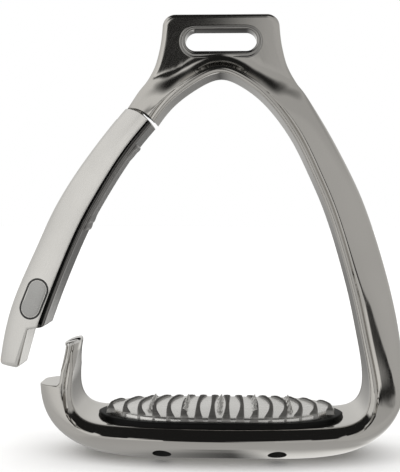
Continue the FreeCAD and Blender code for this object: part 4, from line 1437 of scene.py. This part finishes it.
# Brightness of the studio by compass angle, 0 straight in front and negative
# to the left, in bands from straight down to straight up.
GROUND = ((0, 0.5), (180, 0.5))
SKIRTING = ((-180, 0.06), (-174, 0.25), (-165, 0.45), (-100, 0.6), (0, 0.6), (120, 0.5),
            (150, 0.5), (164, 0.95), (176, 0.9), (180, 0.06))
LOW_WALL = ((-180, 0.1), (-174, 0.3), (-165, 0.5), (-100, 0.6), (-12, 0.85), (-7.5, 0.03), (-1, 0.03),
            (2, 0.52), (60, 0.54), (120, 0.5), (165, 0.4), (180, 0.1))
WALL = ((-180, 0.7), (-170, 0.75), (-130, 0.6), (-60, 0.8), (-12, 0.92), (-6.5, 0.01), (-1.0, 0.01),
        (1.5, 0.55), (60, 0.56), (110, 0.55), (170, 0.65), (180, 0.7))
CANOPY = ((-180, 0.4), (-110, 0.8), (-36, 0.8), (-25, 0.02), (0, 0.02), (8, 0.5), (90, 0.5),
          (120, 0.4), (180, 0.4))
ZENITH = ((0, 0.015), (180, 0.015))
# Each band with the heights, in degrees, over which it takes over from the one below.
BANDS = ((SKIRTING, -60, -44), (LOW_WALL, -12.8, -11), (WALL, -8, 8), (CANOPY, 20, 30), (ZENITH, 50, 62))


CAMERA_TURNS = (2.25, 1.42, 0.106)     # yaw, pitch and roll in degrees
CAMERA_PLACE = (6.38, -381.8, 99.5)
CAMERA_LENS = 69.8
FLOOR_HALF = 6000.0
FLOOR_Z = -0.05
SUN_SPREAD = math.radians(120)
SUN_ENERGY = 2.6


def camera():
    """Camera at the photograph's viewing angle."""
    yaw, pitch, roll = (math.radians(a) for a in CAMERA_TURNS)
    forward = Vector((-math.sin(yaw) * math.cos(pitch), math.cos(yaw) * math.cos(pitch), -math.sin(pitch)))
    level = Vector((math.cos(yaw), math.sin(yaw), 0.0))
    upright = level.cross(forward)
    right = level * math.cos(roll) + upright * math.sin(roll)
    up = upright * math.cos(roll) - level * math.sin(roll)
    data = bpy.data.cameras.new("camera")
    data.lens = CAMERA_LENS
    data.sensor_width = 36.0
    data.clip_start = 0.01
    place = Matrix((right, up, -forward)).transposed().to_4x4()
    place.translation = Vector(CAMERA_PLACE) * MM
    view = linked("camera", data)
    view.matrix_world = place
    bpy.context.scene.camera = view


def make_floor():
    """Pale floor that polished faces don't mirror."""
    mesh = bpy.data.meshes.new("floor")
    corners = [(sx * FLOOR_HALF * MM, sy * FLOOR_HALF * MM, FLOOR_Z * MM)
               for sx, sy in ((-1, -1), (1, -1), (1, 1), (-1, 1))]
    mesh.from_pydata(corners, [], [(0, 1, 2, 3)])
    mesh.materials.append(floor_material())
    floor = linked("floor", mesh)
    floor.visible_glossy = False


def overhead_light():
    """Very soft sun that keeps the floor evenly pale and stays out of the polished reflections."""
    data = bpy.data.lights.new("overhead", "SUN")
    data.angle = SUN_SPREAD
    data.energy = SUN_ENERGY
    lamp = linked("overhead", data)
    lamp.visible_glossy = False


# ---- the object ---------------------------------------------------------
polished = metal("polished_grey", (0.60, 0.585, 0.56), 0.1, 0.005, vary=0.02)
satin = metal("satin_silver", (0.77, 0.76, 0.74), 0.24, 0.03, vary=0.03)
ring_metal = metal("ring_steel", (0.36, 0.355, 0.345), 0.1, 0.02, vary=0.03)
cap_metal = metal("cap_steel", (0.78, 0.775, 0.76), 0.2, 0.03, coords="Object")
rim_metal = metal("rim_dark", (0.21, 0.205, 0.20), 0.16, 0.03, vary=0.04)
cover_metal = metal("cover_grey", (0.27, 0.265, 0.26), 0.28, 0.05, vary=0.05)
# Dark strike plate; the same material is the painted shadow lip in the hinge gap.
strike_and_shadow_metal = metal("strike_dark", (0.06, 0.06, 0.06), 0.35, 0.05, coords="Object")
pad_metal = metal("pad_silver", (0.80, 0.795, 0.78), 0.27, 0.05, vary=0.05, coords="Object")
rib_metal = metal("rib_grey", (0.42, 0.415, 0.405), 0.45, 0.08, vary=0.15, coords="Object")
screw_metal = metal("screw_steel", (0.55, 0.545, 0.53), 0.25, 0.03, coords="Object")
badge_metal = metal("badge_grey", (0.45, 0.45, 0.445), 0.3, 0.03, coords="Object")
bezel_metal = metal("bezel_dark", (0.07, 0.07, 0.07), 0.3, 0.02, coords="Object")
# Near-black painted shade for the walls of the screw pockets, the cap's recess and the arm's groove.
painted_shade_black = metal("painted_shade_black", (0.02, 0.02, 0.02), 0.4, 0.03, coords="Object")
nickel = metal("nickel", (0.66, 0.64, 0.60), 0.2, 0.02, coords="Object")
bronze = metal("bronze", (0.55, 0.38, 0.20), 0.28, 0.04, coords="Object")
pin_metal = metal("pin_steel", (0.62, 0.61, 0.60), 0.16, 0.03, coords="Object")
black_rubber = rubber("black_rubber")
make_frame(polished, painted_shade_black)
make_tongue(polished)
# Painted shadow: a near-black lip filling the hinge gap beside the knuckle.
make_painted_hinge_shadow(strike_and_shadow_metal)
make_eye_liner(ring_metal)
make_latch_plate(cap_metal, painted_shade_black)
make_post_magnet(nickel)
make_arm_shell(satin)
make_arm_liner(rim_metal, painted_shade_black)
make_arm_insert(cover_metal)
make_strike_plate(strike_and_shadow_metal)
make_badge(badge_metal, bezel_metal)
make_gasket(black_rubber)
make_pad(pad_metal)
make_ribs(rib_metal)
make_spikes(pad_metal)
make_screws(screw_metal)
for name, finish in (("hinge_bush", bronze), ("hinge_pin", pin_metal), ("hinge_grub", screw_metal),
                     ("arm_magnet", nickel)):
    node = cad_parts[name]
    node.data.materials.clear()
    node.data.materials.append(finish)

make_floor()
overhead_light()
studio_world()
camera()
bpy.context.scene.view_settings.view_transform = "Standard"

bpy.context.view_layer.update()
